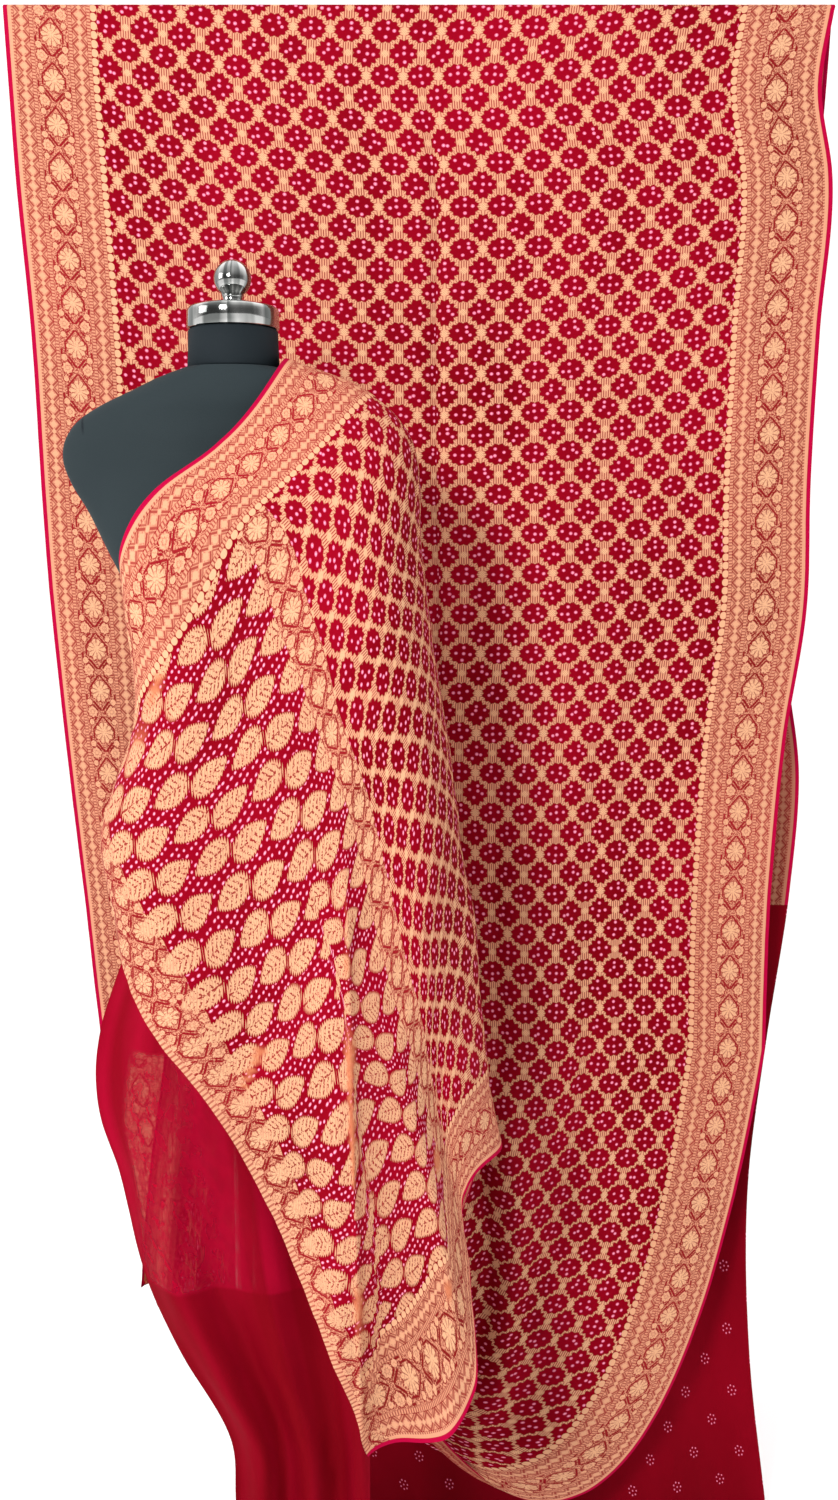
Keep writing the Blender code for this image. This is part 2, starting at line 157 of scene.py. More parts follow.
LOWER_EDGE = table(
    STATION,
    (0.00, -0.059, -1.805), (0.22, 0.037, -1.780), (0.34, 0.067, -1.730), (0.55, 0.064, -1.610),
    (0.78, 0.056, -1.515), (1.00, 0.105, -1.480),
)
DRAPE = table(
    "height outline turn front",
    (-1.85, -0.360, 0.100, -0.440), (-1.18, -0.362, 0.090, -0.446), (-1.06, -0.376, 0.090, -0.446),
    (-0.92, -0.334, 0.075, -0.444), (-0.80, -0.340, 0.060, -0.438), (-0.72, -0.347, 0.045, -0.426),
    (-0.60, -0.350, 0.030, -0.392), (-0.50, -0.350, 0.030, -0.358),
)
# Sharper creases of the drape, each a line from its upper to its lower end, that draw the cloth together.
DRAPE_CREASES = table(
    "upper_side upper_height lower_side lower_height forward width pinch",
    (-0.082, -1.10, -0.066, -1.80, 0.010, 0.009, 0.55), (-0.034, -0.70, 0.030, -1.30, -0.009, 0.014, 0.45),
    (0.004, -0.95, 0.058, -1.34, 0.009, 0.012, 0.0),
)
CREASE_DRAWS = 2.4  # how many times its own width a crease draws the cloth in
# Hollows and creases of the loop, as places across it and shares of how deep they are.
BELL = "place depth width"
LOOP_VALLEYS = table(BELL, (0.66, 1.0, 0.13), (0.90, -0.8, 0.10), (0.40, -0.6, 0.12))
LOOP_CREASES = table(
    BELL,
    (0.86, 1.0, 0.022), (0.915, -0.7, 0.030), (0.80, -0.4, 0.030), (0.69, 0.6, 0.020), (0.64, -0.3, 0.030),
)
LOOP_CREASE_DEEP = 0.022
LOOP_CREASE_LEAN = 0.32


def curve(x, y, at):
    """Smooth curve through the values y at the places x, read at one or more places."""
    x = np.array(x, dtype=float)
    y = np.array(y, dtype=float)
    step = np.diff(x)
    slope = np.diff(y) / step
    tangent = np.empty(len(x))
    tangent[0] = slope[0]
    tangent[-1] = slope[-1]
    tangent[1:-1] = (slope[:-1] * step[1:] + slope[1:] * step[:-1]) / (step[:-1] + step[1:])
    at = np.clip(at, x[0], x[-1])
    i = np.clip(np.searchsorted(x, at) - 1, 0, len(step) - 1)
    s = (at - x[i]) / step[i]
    return (
        (1 + 2 * s) * (1 - s) ** 2 * y[i]
        + s * (1 - s) ** 2 * step[i] * tangent[i]
        + s**2 * (3 - 2 * s) * y[i + 1]
        + s**2 * (s - 1) * step[i] * tangent[i + 1]
    )


def along(rows, key, value, at):
    """Smooth curve through a table's rows, read at one or more keys."""
    rows = sorted(rows, key=lambda row: getattr(row, key))
    return curve([getattr(row, key) for row in rows], [getattr(row, value) for row in rows], at)


def ramp(value, start, full):
    """0 at start, 1 at full, smooth between."""
    s = np.clip((value - start) / (full - start), 0.0, 1.0)
    return s * s * (3 - 2 * s)


def bell(value, place, width):
    return np.exp(-(((value - place) / width) ** 2))


def folded(folds, place, at):
    """How far folds bring the cloth forward, at a place across it and a drop or height."""
    return sum(f.forward * bell(place, f.place, f.width) * ramp(at, f.start, f.full) for f in folds)


def hollows(rows, place):
    return sum(row.depth * bell(place, row.place, row.width) for row in rows)


def point(x, y, z):
    return np.stack(np.broadcast_arrays(x, y, z), axis=-1).astype(float)


def bezier(a, b, c, d, s):
    """Curve from a to d, with the handles b and c."""
    s = s[..., None]
    return (1 - s) ** 3 * a + 3 * s * (1 - s) ** 2 * b + 3 * s**2 * (1 - s) * c + s**3 * d


def pallu_flat(u, t):
    """Side and height of the pallu, from its cut end (t = 0) to the ridge (t = 1), between its four edges."""
    result = []
    for axis in ("side", "height"):
        ends = (1 - t) * along(PALLU_END, "at", axis, u) + t * along(RIDGE, "at", axis, u)
        edges = (1 - u) * along(NECK_EDGE, "at", axis, t) + u * along(LOWER_EDGE, "at", axis, t)
        first, last = ((1 - u) * getattr(rows[0], axis) + u * getattr(rows[-1], axis) for rows in (PALLU_END, RIDGE))
        result.append(ends + edges - (1 - t) * first - t * last)
    return result


def front_drape(u, t):
    """The pallu and the front of the drape, which passes round the form's left side."""
    side, height = pallu_flat(u, t)
    forward = 0.0
    for crease in DRAPE_CREASES:
        down = (height - crease.upper_height) / (crease.lower_height - crease.upper_height)
        place = crease.upper_side + (crease.lower_side - crease.upper_side) * down
        there = ramp(down, -0.15, 0.25) * ramp(down, 1.25, 0.85)
        forward = forward + crease.forward * bell(side, place, crease.width) * there
        drawn = bell(side, place, CREASE_DRAWS * crease.width) * there
        side = side - crease.pinch * (side - place) * drawn
    outline, front, turn = (along(DRAPE, "height", name, height) for name in ("outline", "front", "turn"))
    past = np.maximum(outline + turn - side, 0.0)
    angle = np.minimum(past / turn, math.pi / 2)
    x = np.maximum(side, outline + turn) - turn * np.sin(angle)
    y = front + turn * (1 - np.cos(angle)) + past - turn * angle - forward - folded(DRAPE_FOLDS, side, height)
    return point(x, y + STEP_BACK * ramp(u, 0.50, 1.0) * ramp(t, 0.36, 0.66), height)


def ridge(u):
    return point(along(RIDGE, "at", "side", u), RIDGE_Y, along(RIDGE, "at", "height", u))


def over_shoulder(u, s):
    """From the front of the drape up to the ridge, as a quarter turn."""
    start = front_drape(u, RIDGE_FRONT_T)
    before = front_drape(u, RIDGE_FRONT_T - 0.04)
    end = ridge(u)
    heading = (start - before) / np.linalg.norm(start - before, axis=-1, keepdims=True)
    reach = np.linalg.norm(end - start, axis=-1, keepdims=True)
    arrive = np.array([0.0, 1.0, 0.0])
    return bezier(start, start + heading * reach * 0.40, end - arrive * reach * 0.36, end, s)


def turn_back(u):
    """Where the cloth behind the form comes down to the loop's turn."""
    return point(TURN_LEFT + TURN_WIDE * u, TURN_Y, TURN_HEIGHT - 0.10 * u + 0.04 * bell(u, 0.0, 0.15))


def gathers(u):
    """Depth of the upright folds into which the cloth is gathered behind the form."""
    return RISER_DEEP * np.sin(2 * math.pi * RISER_FOLDS * u)


def behind_form(u, s):
    """From the ridge down behind the form to the loop's turn, in soft upright folds."""
    start = ridge(u)
    end = turn_back(u)
    hang = 0.30 * (start[..., 2] - end[..., 2]) + 0.20 * (1 - u)
    first = point(start[..., 0], BACK_Y + 0.075, start[..., 2])
    second = point(end[..., 0] + 0.05, BACK_Y - 0.02, end[..., 2] + hang)
    place = bezier(start, first, second, end, s)
    place[..., 1] += gathers(u) * ramp(s, 0.05, 0.5)
    return place


def loop_and_rise(u, s):
    """From the loop's turn round the slack swag and up to the flat panel."""
    start = turn_back(u)
    end = hung_panel(u, 0.0)
    leave = point(0.24 * u - 0.01, 0.075, 0.12 - 0.53 * u**1.2)
    arrive = point(0.024 * u + 0.075 * u**4, 0.0, 0.12 + 0.57 * u**1.5)
    place = bezier(start, start + leave, end - arrive, end, s)
    valleys = LOOP_DEEP * np.sin(math.pi * s) * hollows(LOOP_VALLEYS, u)
    creases = LOOP_CREASE_DEEP * hollows(LOOP_CREASES, u + LOOP_CREASE_LEAN * s)
    place[..., 1] += valleys + gathers(u) * ramp(s, 0.35, 0.0)
    place[..., 1] += creases * ramp(s, 0.20, 0.55) * ramp(s, 1.0, 0.80)
    return place


def panel_x(rows, u, drop):
    left = along(rows, "drop", "left", drop)
    right = along(rows, "drop", "right", drop)
    return left + (right - left) * u


def hung_panel(u, s):
    """The flat hung panel, from the loop up to the top edge."""
    drop = JOIN_DROP * (1 - s) + TOP_TURN * s
    return point(panel_x(PANEL, u, drop), -folded(PANEL_FOLDS, u, drop), -drop)


def over_top(u, s):
    """Half turn over what holds the top edge."""
    angle = math.pi * s
    x = panel_x(PANEL, u, 0.0)
    return point(x, TOP_TURN * (1 - np.cos(angle)), TOP_TURN * np.sin(angle) - TOP_TURN)


def back_layer(u, s):
    """The layer behind, from the top edge down to the cut end of the plain length."""
    drop = TOP_TURN * (1 - s) + BACK_DROP * s
    away = 2 * TOP_TURN + (BACK_LAYER_Y - 2 * TOP_TURN) * ramp(drop, 0.0, BACK_LAYER_DROP)
    return point(panel_x(BACK_LAYER, u, drop), away - folded(BACK_FOLDS, u, drop), -drop)


# ---------------------------------------------------------------- the cloth as one fine grid
# The whole length is worked out as one grid of points, then crumpled a little along its surface. Each point
# keeps its place on the flat cloth, across and along, which the weave and the dye are laid out by.
COLUMNS = 180
STRETCHES = table(
    "name shape end rows",
    ("front", front_drape, RIDGE_FRONT_T, 76),
    ("shoulder", over_shoulder, 1.0, 22),
    ("behind", behind_form, 1.0, 130),
    ("loop", loop_and_rise, 1.0, 120),
    ("panel", hung_panel, 1.0, 216),
    ("top", over_top, 1.0, 8),
    ("back", back_layer, 1.0, 200),
)
ROD_ALONG = 3.7315  # length of cloth from the pallu's cut end to the top edge
HUNG_TAKE = 0.969  # cloth counted per length of the hung layers, whose crumples hide some
ROW_SAG = 0.036  # how far lower the woven rows lie at the middle of the top edge
ROW_RISE = 0.014  # how far higher they lie at its right
BROCADE_DROP = 1.245  # drop of the back layer at which the brocade ends

# How the weave lies on the drape, in millimetres, for places across it and shares of the way from the pallu's
# end (t0) to the shoulder's ridge (t100): shifted towards the far selvage, and ahead of the surface's length.
# Soft folds too fine to draw take up the cloth that the surface lacks.
LAY = "at t0 t8 t15 t30 t45 t60 t70 t80 t90 t100"
LAY_SHARES = (0.0, 0.08, 0.15, 0.30, 0.45, 0.60, 0.70, 0.80, 0.90, 1.0)
LAID_ACROSS = table(
    LAY,
    (0.00, 0, 0, 0, 0, 0, 0, 0, 0, 0, 0), (0.12, -15, -15, -15, -12, -5, 3, 18, 24, 18, 5),
    (0.20, -15, -15, -14, -4, 4, 8, 10, 19, 17, 10), (0.30, -10, -10, -8, 10, 11, -6, 5, 15, 20, 20),
    (0.42, -10, -8, -5, 20, 12, -12, -5, 18, 28, 32), (0.52, 0, 5, 12, 36, 25, 0, -2, 10, 25, 28),
    (0.66, 8, 14, 22, 40, 32, 12, 3, 5, 15, 20), (0.80, 10, 18, 26, 42, 37, 22, 12, 10, 10, 10),
    (1.00, 0, 0, 0, 0, 0, 0, 0, 0, 0, 0),
)
LAID_ALONG = table(
    LAY,
    (0.00, 0, -53, -60, -45, -25, -36, -37, -21, -3, -3), (0.12, 0, -53, -60, -47, -25, -36, -35, -21, -3, -3),
    (0.20, 0, -53, -60, -50, -50, -55, -50, -37, 0, 0), (0.27, 0, -50, -57, -50, -58, -60, -47, -28, 15, 20),
    (0.34, 0, -37, -44, -33, -38, -46, -17, -5, 23, 30), (0.42, 0, -18, -22, -5, -3, -15, 3, 35, 55, 63),
    (0.50, 0, -4, 0, 25, 25, 15, 25, 50, 80, 85), (0.60, 0, 0, 22, 28, 54, 50, 45, 65, 90, 90),
    (0.72, 0, 15, 23, 55, 55, 55, 55, 70, 90, 90), (1.00, 0, 15, 23, 55, 55, 55, 55, 70, 90, 90),
)
CREASE_TAKES = 0.038  # cloth hidden in the narrow upright crease of the drape
PANEL_CREASE = 0.514  # place across the hung panel of its lengthwise crease, and the cloth that it hides
PANEL_CREASE_TAKES = 0.013

# Narrow strips along the drape's sharp creases, where a plain copper colour is painted in as the sheen of the gold
# weft seen edge-on: the upper and the lower end of each, and its half width.
CREASE_SHEEN_STRIPS = table(
    "upper_side upper_height lower_side lower_height half_width",
    (-0.083, -1.14, -0.066, -1.80, 0.0050), (0.022, -1.44, 0.036, -1.61, 0.0065),
    (-0.292, -0.872, -0.326, -0.955, 0.0090), (-0.183, -1.305, -0.206, -1.358, 0.0075),
)
# Soft crumpling of the thin crepe: how high its hills are, and how wide and how long.
CRUMPLES = table(
    "height wide tall seed",
    (0.0034, 0.075, 0.38, 1), (0.0012, 0.030, 0.12, 2), (0.0004, 0.013, 0.022, 3),
)


def hills(x, y, seed):
    """Smooth random hills about one unit apart, from -1 to 1."""
    cell_x = np.floor(x)
    cell_y = np.floor(y)
    fx = x - cell_x
    fy = y - cell_y
    fx = fx * fx * (3 - 2 * fx)
    fy = fy * fy * (3 - 2 * fy)

    def corner(i, j):
        spread = np.sin((cell_x + i) * 127.1 + (cell_y + j) * 311.7 + seed * 74.7) * 43758.5453
        return 2 * (spread - np.floor(spread)) - 1

    near = corner(0, 0) * (1 - fx) + corner(1, 0) * fx
    far = corner(0, 1) * (1 - fx) + corner(1, 1) * fx
    return near * (1 - fy) + far * fy


def surface_normals(places):
    """Unit normals of a grid of points, on the cloth's right side."""
    across = np.gradient(places, axis=1)
    lengthwise = np.gradient(places, axis=0)
    normal = np.cross(across, lengthwise)
    return normal / np.linalg.norm(normal, axis=-1, keepdims=True)


u_line = np.linspace(0.0, 1.0, COLUMNS + 1)[None, :]
stretch_rows = {}
grids = []
row_count = 0
for number, stretch in enumerate(STRETCHES):
    steps = np.linspace(0.0, stretch.end, stretch.rows + 1)[(1 if number else 0) :, None]
    u_grid, s_grid = np.broadcast_arrays(u_line, steps)
    grids.append(stretch.shape(u_grid, s_grid))
    first_row = max(row_count - 1, 0)
    row_count += len(steps)
    stretch_rows[stretch.name] = (first_row, row_count - 1)
cloth_places = np.concatenate(grids)
cloth_normals = surface_normals(cloth_places)

# Length along each thread from the cut end of the pallu.
thread_step = np.linalg.norm(np.diff(cloth_places, axis=0), axis=-1)
thread = np.concatenate([np.zeros((1, COLUMNS + 1)), np.cumsum(thread_step, axis=0)])
ridge_row = stretch_rows["shoulder"][1]
turn_row = stretch_rows["behind"][1]
rod_row = stretch_rows["top"][1]


def laid(rows, shares):
    """Reads a lay table at shares of the way to the ridge and at every place across, in metres."""
    by_place = [curve(LAY_SHARES, row[1:], shares) for row in rows]
    places = [row.at for row in rows]
    return np.stack([curve(places, level, u_line[0]) for level in np.transpose(by_place)]) / 1000


front_rows = stretch_rows["front"][1]
front_shares = np.interp(np.arange(ridge_row + 1), [0, front_rows, ridge_row], [0.0, RIDGE_FRONT_T, 1.0])
past_crease = u_line - 0.50 - (0.37 - front_shares[:, None]) * 1.4
crease_takes = CREASE_TAKES * ramp(past_crease, -0.009, 0.009) * ramp(front_shares[:, None], 0.47, 0.33)
front_shift = laid(LAID_ACROSS, front_shares) + crease_takes * ramp(u_line, 1.0, 0.84)
front_along = thread[: ridge_row + 1] + laid(LAID_ALONG, front_shares)
drop_of_row = np.abs(cloth_places[..., 2])
sag = ROW_SAG * (1 - ((u_line - 0.5) / 0.37) ** 2) * ramp(drop_of_row, 1.1, 0.1)
rise = ROW_RISE * ramp(u_line, 0.62, 0.95) * ramp(drop_of_row, 0.6, 0.1)
hung_along = ROD_ALONG + HUNG_TAKE * (thread - thread[rod_row]) + sag + rise
share = (thread - thread[ridge_row]) / (thread[turn_row] - thread[ridge_row])
riser_along = front_along[ridge_row] + share * (hung_along[turn_row] - front_along[ridge_row])
cloth_along = np.concatenate([front_along, riser_along[ridge_row + 1 : turn_row], hung_along[turn_row:]])
cloth_across = u_line * CLOTH_WIDTH + np.zeros_like(cloth_along)
cloth_across[: ridge_row + 1] += front_shift
cloth_across[ridge_row + 1 : turn_row] += front_shift[ridge_row] * (1 - share[ridge_row + 1 : turn_row])

from_crease = u_line - PANEL_CREASE
step_over = np.tanh(from_crease / 0.004) * np.exp(-np.abs(from_crease) / 0.12) * ramp(drop_of_row, 0.02, 0.30)
cloth_across[turn_row:] += PANEL_CREASE_TAKES / 2 * (step_over * (cloth_places[..., 1] < 0.03))[turn_row:]

# Painted sheen: a mask of the copper-coloured strips along the drape's sharp creases.
crease_sheen = np.zeros_like(cloth_along)
side, _, height = np.moveaxis(cloth_places, -1, 0)
for strip in CREASE_SHEEN_STRIPS:
    down = (height - strip.upper_height) / (strip.lower_height - strip.upper_height)
    place = strip.upper_side + (strip.lower_side - strip.upper_side) * np.clip(down, 0, 1)
    there = ramp(down, -0.04, 0.06) * ramp(down, 1.04, 0.94)
    uneven = 0.60 + 0.55 * hills(height / 0.035, 0 * down, 9)
    patchy = ramp(hills(height / 0.040, 0 * down, 12), -0.45, 0.05)
    shown = ramp(np.abs(side - place) / (strip.half_width * uneven), 1.2, 0.8) * there * patchy
    crease_sheen[:ridge_row] = np.maximum(crease_sheen, shown)[:ridge_row]

# The cloth doesn't crumple where it is held over the top edge and on the shoulder.
hung_rows = np.arange(row_count)[:, None] >= turn_row
slack = np.where(hung_rows, ramp(drop_of_row, 0.05, 0.7), ramp(drop_of_row, 0.62, 0.98))
crumple = sum(c.height * hills(cloth_across / c.wide, cloth_along / c.tall, c.seed) for c in CRUMPLES)
cloth_places = cloth_places + cloth_normals * (slack * crumple)[..., None]
cloth_normals = surface_normals(cloth_places)


# ---------------------------------------------------------------- weaves and dyes as formulas
# The brocade is a crimson silk crepe with gold weft threads. Each pattern is a formula of the place on the
# flat cloth that gives how much gold shows there, from 0 to 1, or how far a tied dot has kept the dye out.
CELL_ACROSS = 0.0504  # one repeat of the field
CELL_ALONG = 0.0563
BORDER_WIDTH = 0.1255
CHAIN_MIDDLE = 23.8  # millimetres from the selvage to the middle of the outer chain
CHAIN_TO_CHAIN = 78.0
VINE_MIDDLE = 63.0
VINE_SPAN = (39.5, 86.3)
SCALLOPS_MIDDLE = 121.0
SCALLOP_RADIUS = 4.7
CHAIN_HALF = 9.2
COMB_SPAN = (10.4, 14.8)
COMB_RAILS = (9.9, 15.2)
OVAL_HALF = (0.368, 0.252)  # half width and half height of a bare oval, in repeats
DIAMOND_HALF = (0.385, 0.325)
DOTS_IN_REPEAT = (4.9, 6.2)
FIELD_START = 0.1645  # first column of ovals, from the selvage
LEAF_ACROSS = 0.0500  # one repeat of the leaves, whose rows are staggered
LEAF_ALONG = 0.0510
LEAF_COLUMN = 0.1955  # a leaf of the first row, from the selvage
END_BAND = 0.055  # first row of leaves, from the cut end
LEAF_HALF = (27.2, 15.9)  # millimetres from a leaf's middle to its point and to its side
TOOTH = 0.0038  # one tooth of a leaf's edge
NET_ACROSS = 0.0088  # one tied dot of the net between the leaves
NET_ALONG = 0.0090
CLUSTER = 98.0  # millimetres from one rosette of dots to the next
CLUSTER_RING = 7.6
CLUSTER_DOTS = 7
MM = 1000
REPEAT_ACROSS = CELL_ACROSS * MM
REPEAT_ALONG = CELL_ALONG * MM


def set_inputs(node, inputs):
    """Gives a node's inputs a number, a colour, or what another node works out."""
    for label, value in inputs.items():
        if isinstance(value, Weave):
            value = value.socket
        if isinstance(value, bpy.types.NodeSocket):
            node.id_data.links.new(value, node.inputs[label])
        else:
            node.inputs[label].default_value = (*value, 1.0) if isinstance(value, tuple) else value


def add_node(tree, kind, inputs, **settings):
    node = tree.nodes.new("ShaderNode" + kind)
    for name, value in settings.items():
        setattr(node, name, value)
    set_inputs(node, inputs)
    return node


class Weave:
    """A number that varies over the cloth: a socket in a node tree, so that a pattern reads as a formula."""

    def __init__(self, tree, socket):
        self.tree = tree
        self.socket = socket

    def math(self, operation, *others):
        node = add_node(self.tree, "Math", dict(enumerate((self, *others))), operation=operation)
        return Weave(self.tree, node.outputs[0])

    def __add__(self, other):
        return self.math("ADD", other)

    def __sub__(self, other):
        return self.math("SUBTRACT", other)

    def __rsub__(self, other):
        return self.math("MULTIPLY_ADD", -1.0, other)

    def __mul__(self, other):
        return self.math("MULTIPLY", other)

    def __truediv__(self, other):
        return self.math("DIVIDE", other) if isinstance(other, Weave) else self * (1.0 / other)

    def __abs__(self):
        return self.math("ABSOLUTE")

    __radd__ = __add__
    __rmul__ = __mul__

    def least(self, other):
        return self.math("MINIMUM", other)

    def most(self, *others):
        result = self
        for other in others:
            result = result.math("MAXIMUM", other)
        return result

    def from_whole(self):
        """Distance to the nearest whole number, 0 to 0.5."""
        return self.math("PINGPONG", 0.5)

    def signed(self):
        """Place within a repeat, -0.5 to 0.5."""
        return self.math("WRAP", 0.5, -0.5)

    def whole(self):
        return self.math("ROUND")

    def rise(self, low, high):
        """0 below low and 1 above high, or the other way round where low is the greater."""
        node = add_node(self.tree, "MapRange", {"Value": self, "From Min": low, "From Max": high})
        return Weave(self.tree, node.outputs["Result"])

    def within(self, low, high, soft):
        """1 between low and high, with soft edges."""
        half = (high - low) / 2
        return abs(self - (low + high) / 2).rise(half + soft, half - soft)

    def ring(self, radius, outer, inner):
        """1 on a line at this radius, that fades from inner to outer half widths."""
        return abs(self - radius).rise(outer, inner)


def vector(x, y):
    return add_node(x.tree, "CombineXYZ", {"X": x, "Y": y}).outputs["Vector"]


def length(x, y):
    node = add_node(x.tree, "VectorMath", {0: vector(x, y)}, operation="LENGTH")
    return Weave(x.tree, node.outputs["Value"])


def turn(y, x, parts):
    """How far a place lies from the middle of its part of a turn, 0 to 1."""
    return (y.math("ARCTAN2", x) * parts).from_whole() * 2


def choose(factor, a, b):
    """a where factor is 0, b where it is 1."""
    node = add_node(factor.tree, "Mix", {"Factor": factor, "A": a, "B": b}, data_type="FLOAT")
    return Weave(factor.tree, node.outputs["Result"])


def cloudy(x, y, scale, detail=0.0):
    """Noise, about 0.5."""
    inputs = {"Vector": vector(x, y), "Scale": scale, "Detail": detail}
    return Weave(x.tree, add_node(x.tree, "TexNoise", inputs, noise_dimensions="2D").outputs["Fac"])


def chance(x, y):
    """Three random numbers for each whole place."""
    node = add_node(x.tree, "TexWhiteNoise", {"Vector": vector(x, y)}, noise_dimensions="2D")
    parts = add_node(x.tree, "SeparateColor", {"Color": node.outputs["Color"]})
    return [Weave(x.tree, socket) for socket in parts.outputs]


def weave_group(name, inputs, outputs):
    """Turns a formula into a node group, which is then placed wherever the formula is called."""

    def grouped(formula):
        tree = bpy.data.node_groups.new(name, "ShaderNodeTree")
        for way, labels in (("INPUT", inputs), ("OUTPUT", outputs)):
            for label in labels.split():
                tree.interface.new_socket(label, in_out=way, socket_type="NodeSocketFloat")
        entry = tree.nodes.new("NodeGroupInput")
        results = formula(*[Weave(tree, entry.outputs[label]) for label in inputs.split()])
        set_inputs(tree.nodes.new("NodeGroupOutput"), dict(zip(outputs.split(), results)))

        def place(*values):
            node = add_node(values[0].tree, "Group", {}, node_tree=tree)
            set_inputs(node, dict(enumerate(values)))
            return [Weave(node.id_data, socket) for socket in node.outputs]

        return place

    return grouped


def tied_dots(x, y, turned, over, up):
    """Five dots, one in the middle and four about it, 1 at the heart of each and 0 at its edge.

    x and y are in dot spacings from the middle; the rest are random numbers that set them a little askew.
    """
    x = x + (over - 0.5) * 0.40
    y = y + (up - 0.5) * 0.40
    lean = (turned - 0.5) * 0.9
    middle = length(x + lean, y + (over - 0.5) * 0.5)
    turned_x = abs(x + lean * y)
    turned_y = abs(y - lean * x)
    beside = length(turned_x - 1.0, turned_y)
    above = length(turned_x, turned_y - 1.0)
    return middle.least(beside).least(above).rise(0.29, 0.0)


@weave_group("jaal_field", "across lengthwise", "gold dots peach")
def jaal(across, lengthwise):
    """The field: ovals and stepped diamonds of bare crimson in a feathery gold lattice, each with tied dots."""
    a = (across - FIELD_START) / CELL_ACROSS
    b = lengthwise / CELL_ALONG
    x = a.from_whole()
    y = b.from_whole()
    far_x = 0.5 - x
    far_y = 0.5 - y
    upright = (a * 15).from_whole() * 2
    oval_x = x / OVAL_HALF[0]
    oval_y = y / OVAL_HALF[1]
    oval = length(oval_x, oval_y)
    diamond_x = far_x / DIAMOND_HALF[0]
    diamond_y = far_y / DIAMOND_HALF[1]
    diamond = length(diamond_x, diamond_y) * 0.5 + (diamond_x + diamond_y) * 0.5
    in_diamond = oval.math("GREATER_THAN", diamond)
    angle = choose(in_diamond, oval_y.math("ARCTAN2", oval_x), diamond_y.math("ARCTAN2", diamond_x))
    petals = (angle * 1.91).from_whole() * 2
    feathers = (angle * 5.1).from_whole() * 2
    loop_shade_and_pale_gold = lengthwise.within(1.50, 2.40, 0.30)  # painted shade: round the slack loop the lattice is drawn thinner so more crimson shows, and its gold is paler
    bare = oval.least(diamond) - 0.07 * loop_shade_and_pale_gold
    raggedness = 0.17 + 0.10 * in_diamond
    lattice = (bare + (0.5 - petals) * raggedness).rise(0.99, 1.06)
    beside = length(far_x * REPEAT_ACROSS, y * REPEAT_ALONG)
    stacked = length(x * REPEAT_ACROSS, far_y * REPEAT_ALONG)
    flower = beside.least(stacked).rise(5.2, 3.6)
    between_ovals = x.rise(0.20, 0.15) * y.rise(0.25, 0.28)
    slits = choose(between_ovals, feathers.rise(0.95, 0.55), upright.rise(0.25, 0.60))
    flower_slits = (a * 17 + b * 19).from_whole().rise(0.05, 0.16)
    gold = lattice * choose(flower, 0.14 + 0.82 * slits, 0.45 + 0.55 * flower_slits)
    shift = 0.5 * in_diamond
    turned, over, up = chance((a + shift).whole(), (b + shift).whole() + in_diamond * 57.0)
    dot_x, dot_y = ((place + shift).signed() * count for place, count in zip((a, b), DOTS_IN_REPEAT))
    dots = tied_dots(dot_x, dot_y, turned, over, up)
    return gold, dots * bare.rise(1.02, 0.88), (0.80 - 0.80 * flower) * (1.0 - 0.45 * loop_shade_and_pale_gold)


# Stems of the vine: where each crosses the height of the flower's middle and how it leans, its half width and
# the core of that, in millimetres, and the heights between which it runs, in shares of a repeat, with soft ends.
STEMS = table(
    "start lean half core low high soft",
    (19.355, -49, 2.0, 1.2, 0.07, 0.39, 0.01), (23.76, 48, 2.4, 1.6, -0.48, -0.245, 0.008),
    (28.8, 48, 1.9, 1.1, -0.45, -0.32, 0.008), (31.0, -62, 2.1, 1.2, 0.28, 0.37, 0.008),
)
UPRIGHT_STEMS = table(
    "start half core low high soft",
    (15.6, 1.6, 0.9, -0.15, 0.07, 0.01), (21.4, 1.8, 1.0, -0.22, -0.08, 0.01),
)
# The vine's flowers and buds, in millimetres, with their places up and down in shares of a repeat.
FLOWER_BASE = (13.2, 0.245)  # half width, and height of the rounded lower part
FLOWER_POINT = (13.5, 0.26)
BUD_SIDE = 14.5
BUD_RADIUS = 7.2
SMALL_BUD = (18.0, -0.27, 3.9)
VINE_LEAF = (17.2, 0.25, 3.4)
OUTLINE_AT = 1.25  # how far out the dark line round a bud runs, where 1 is its edge


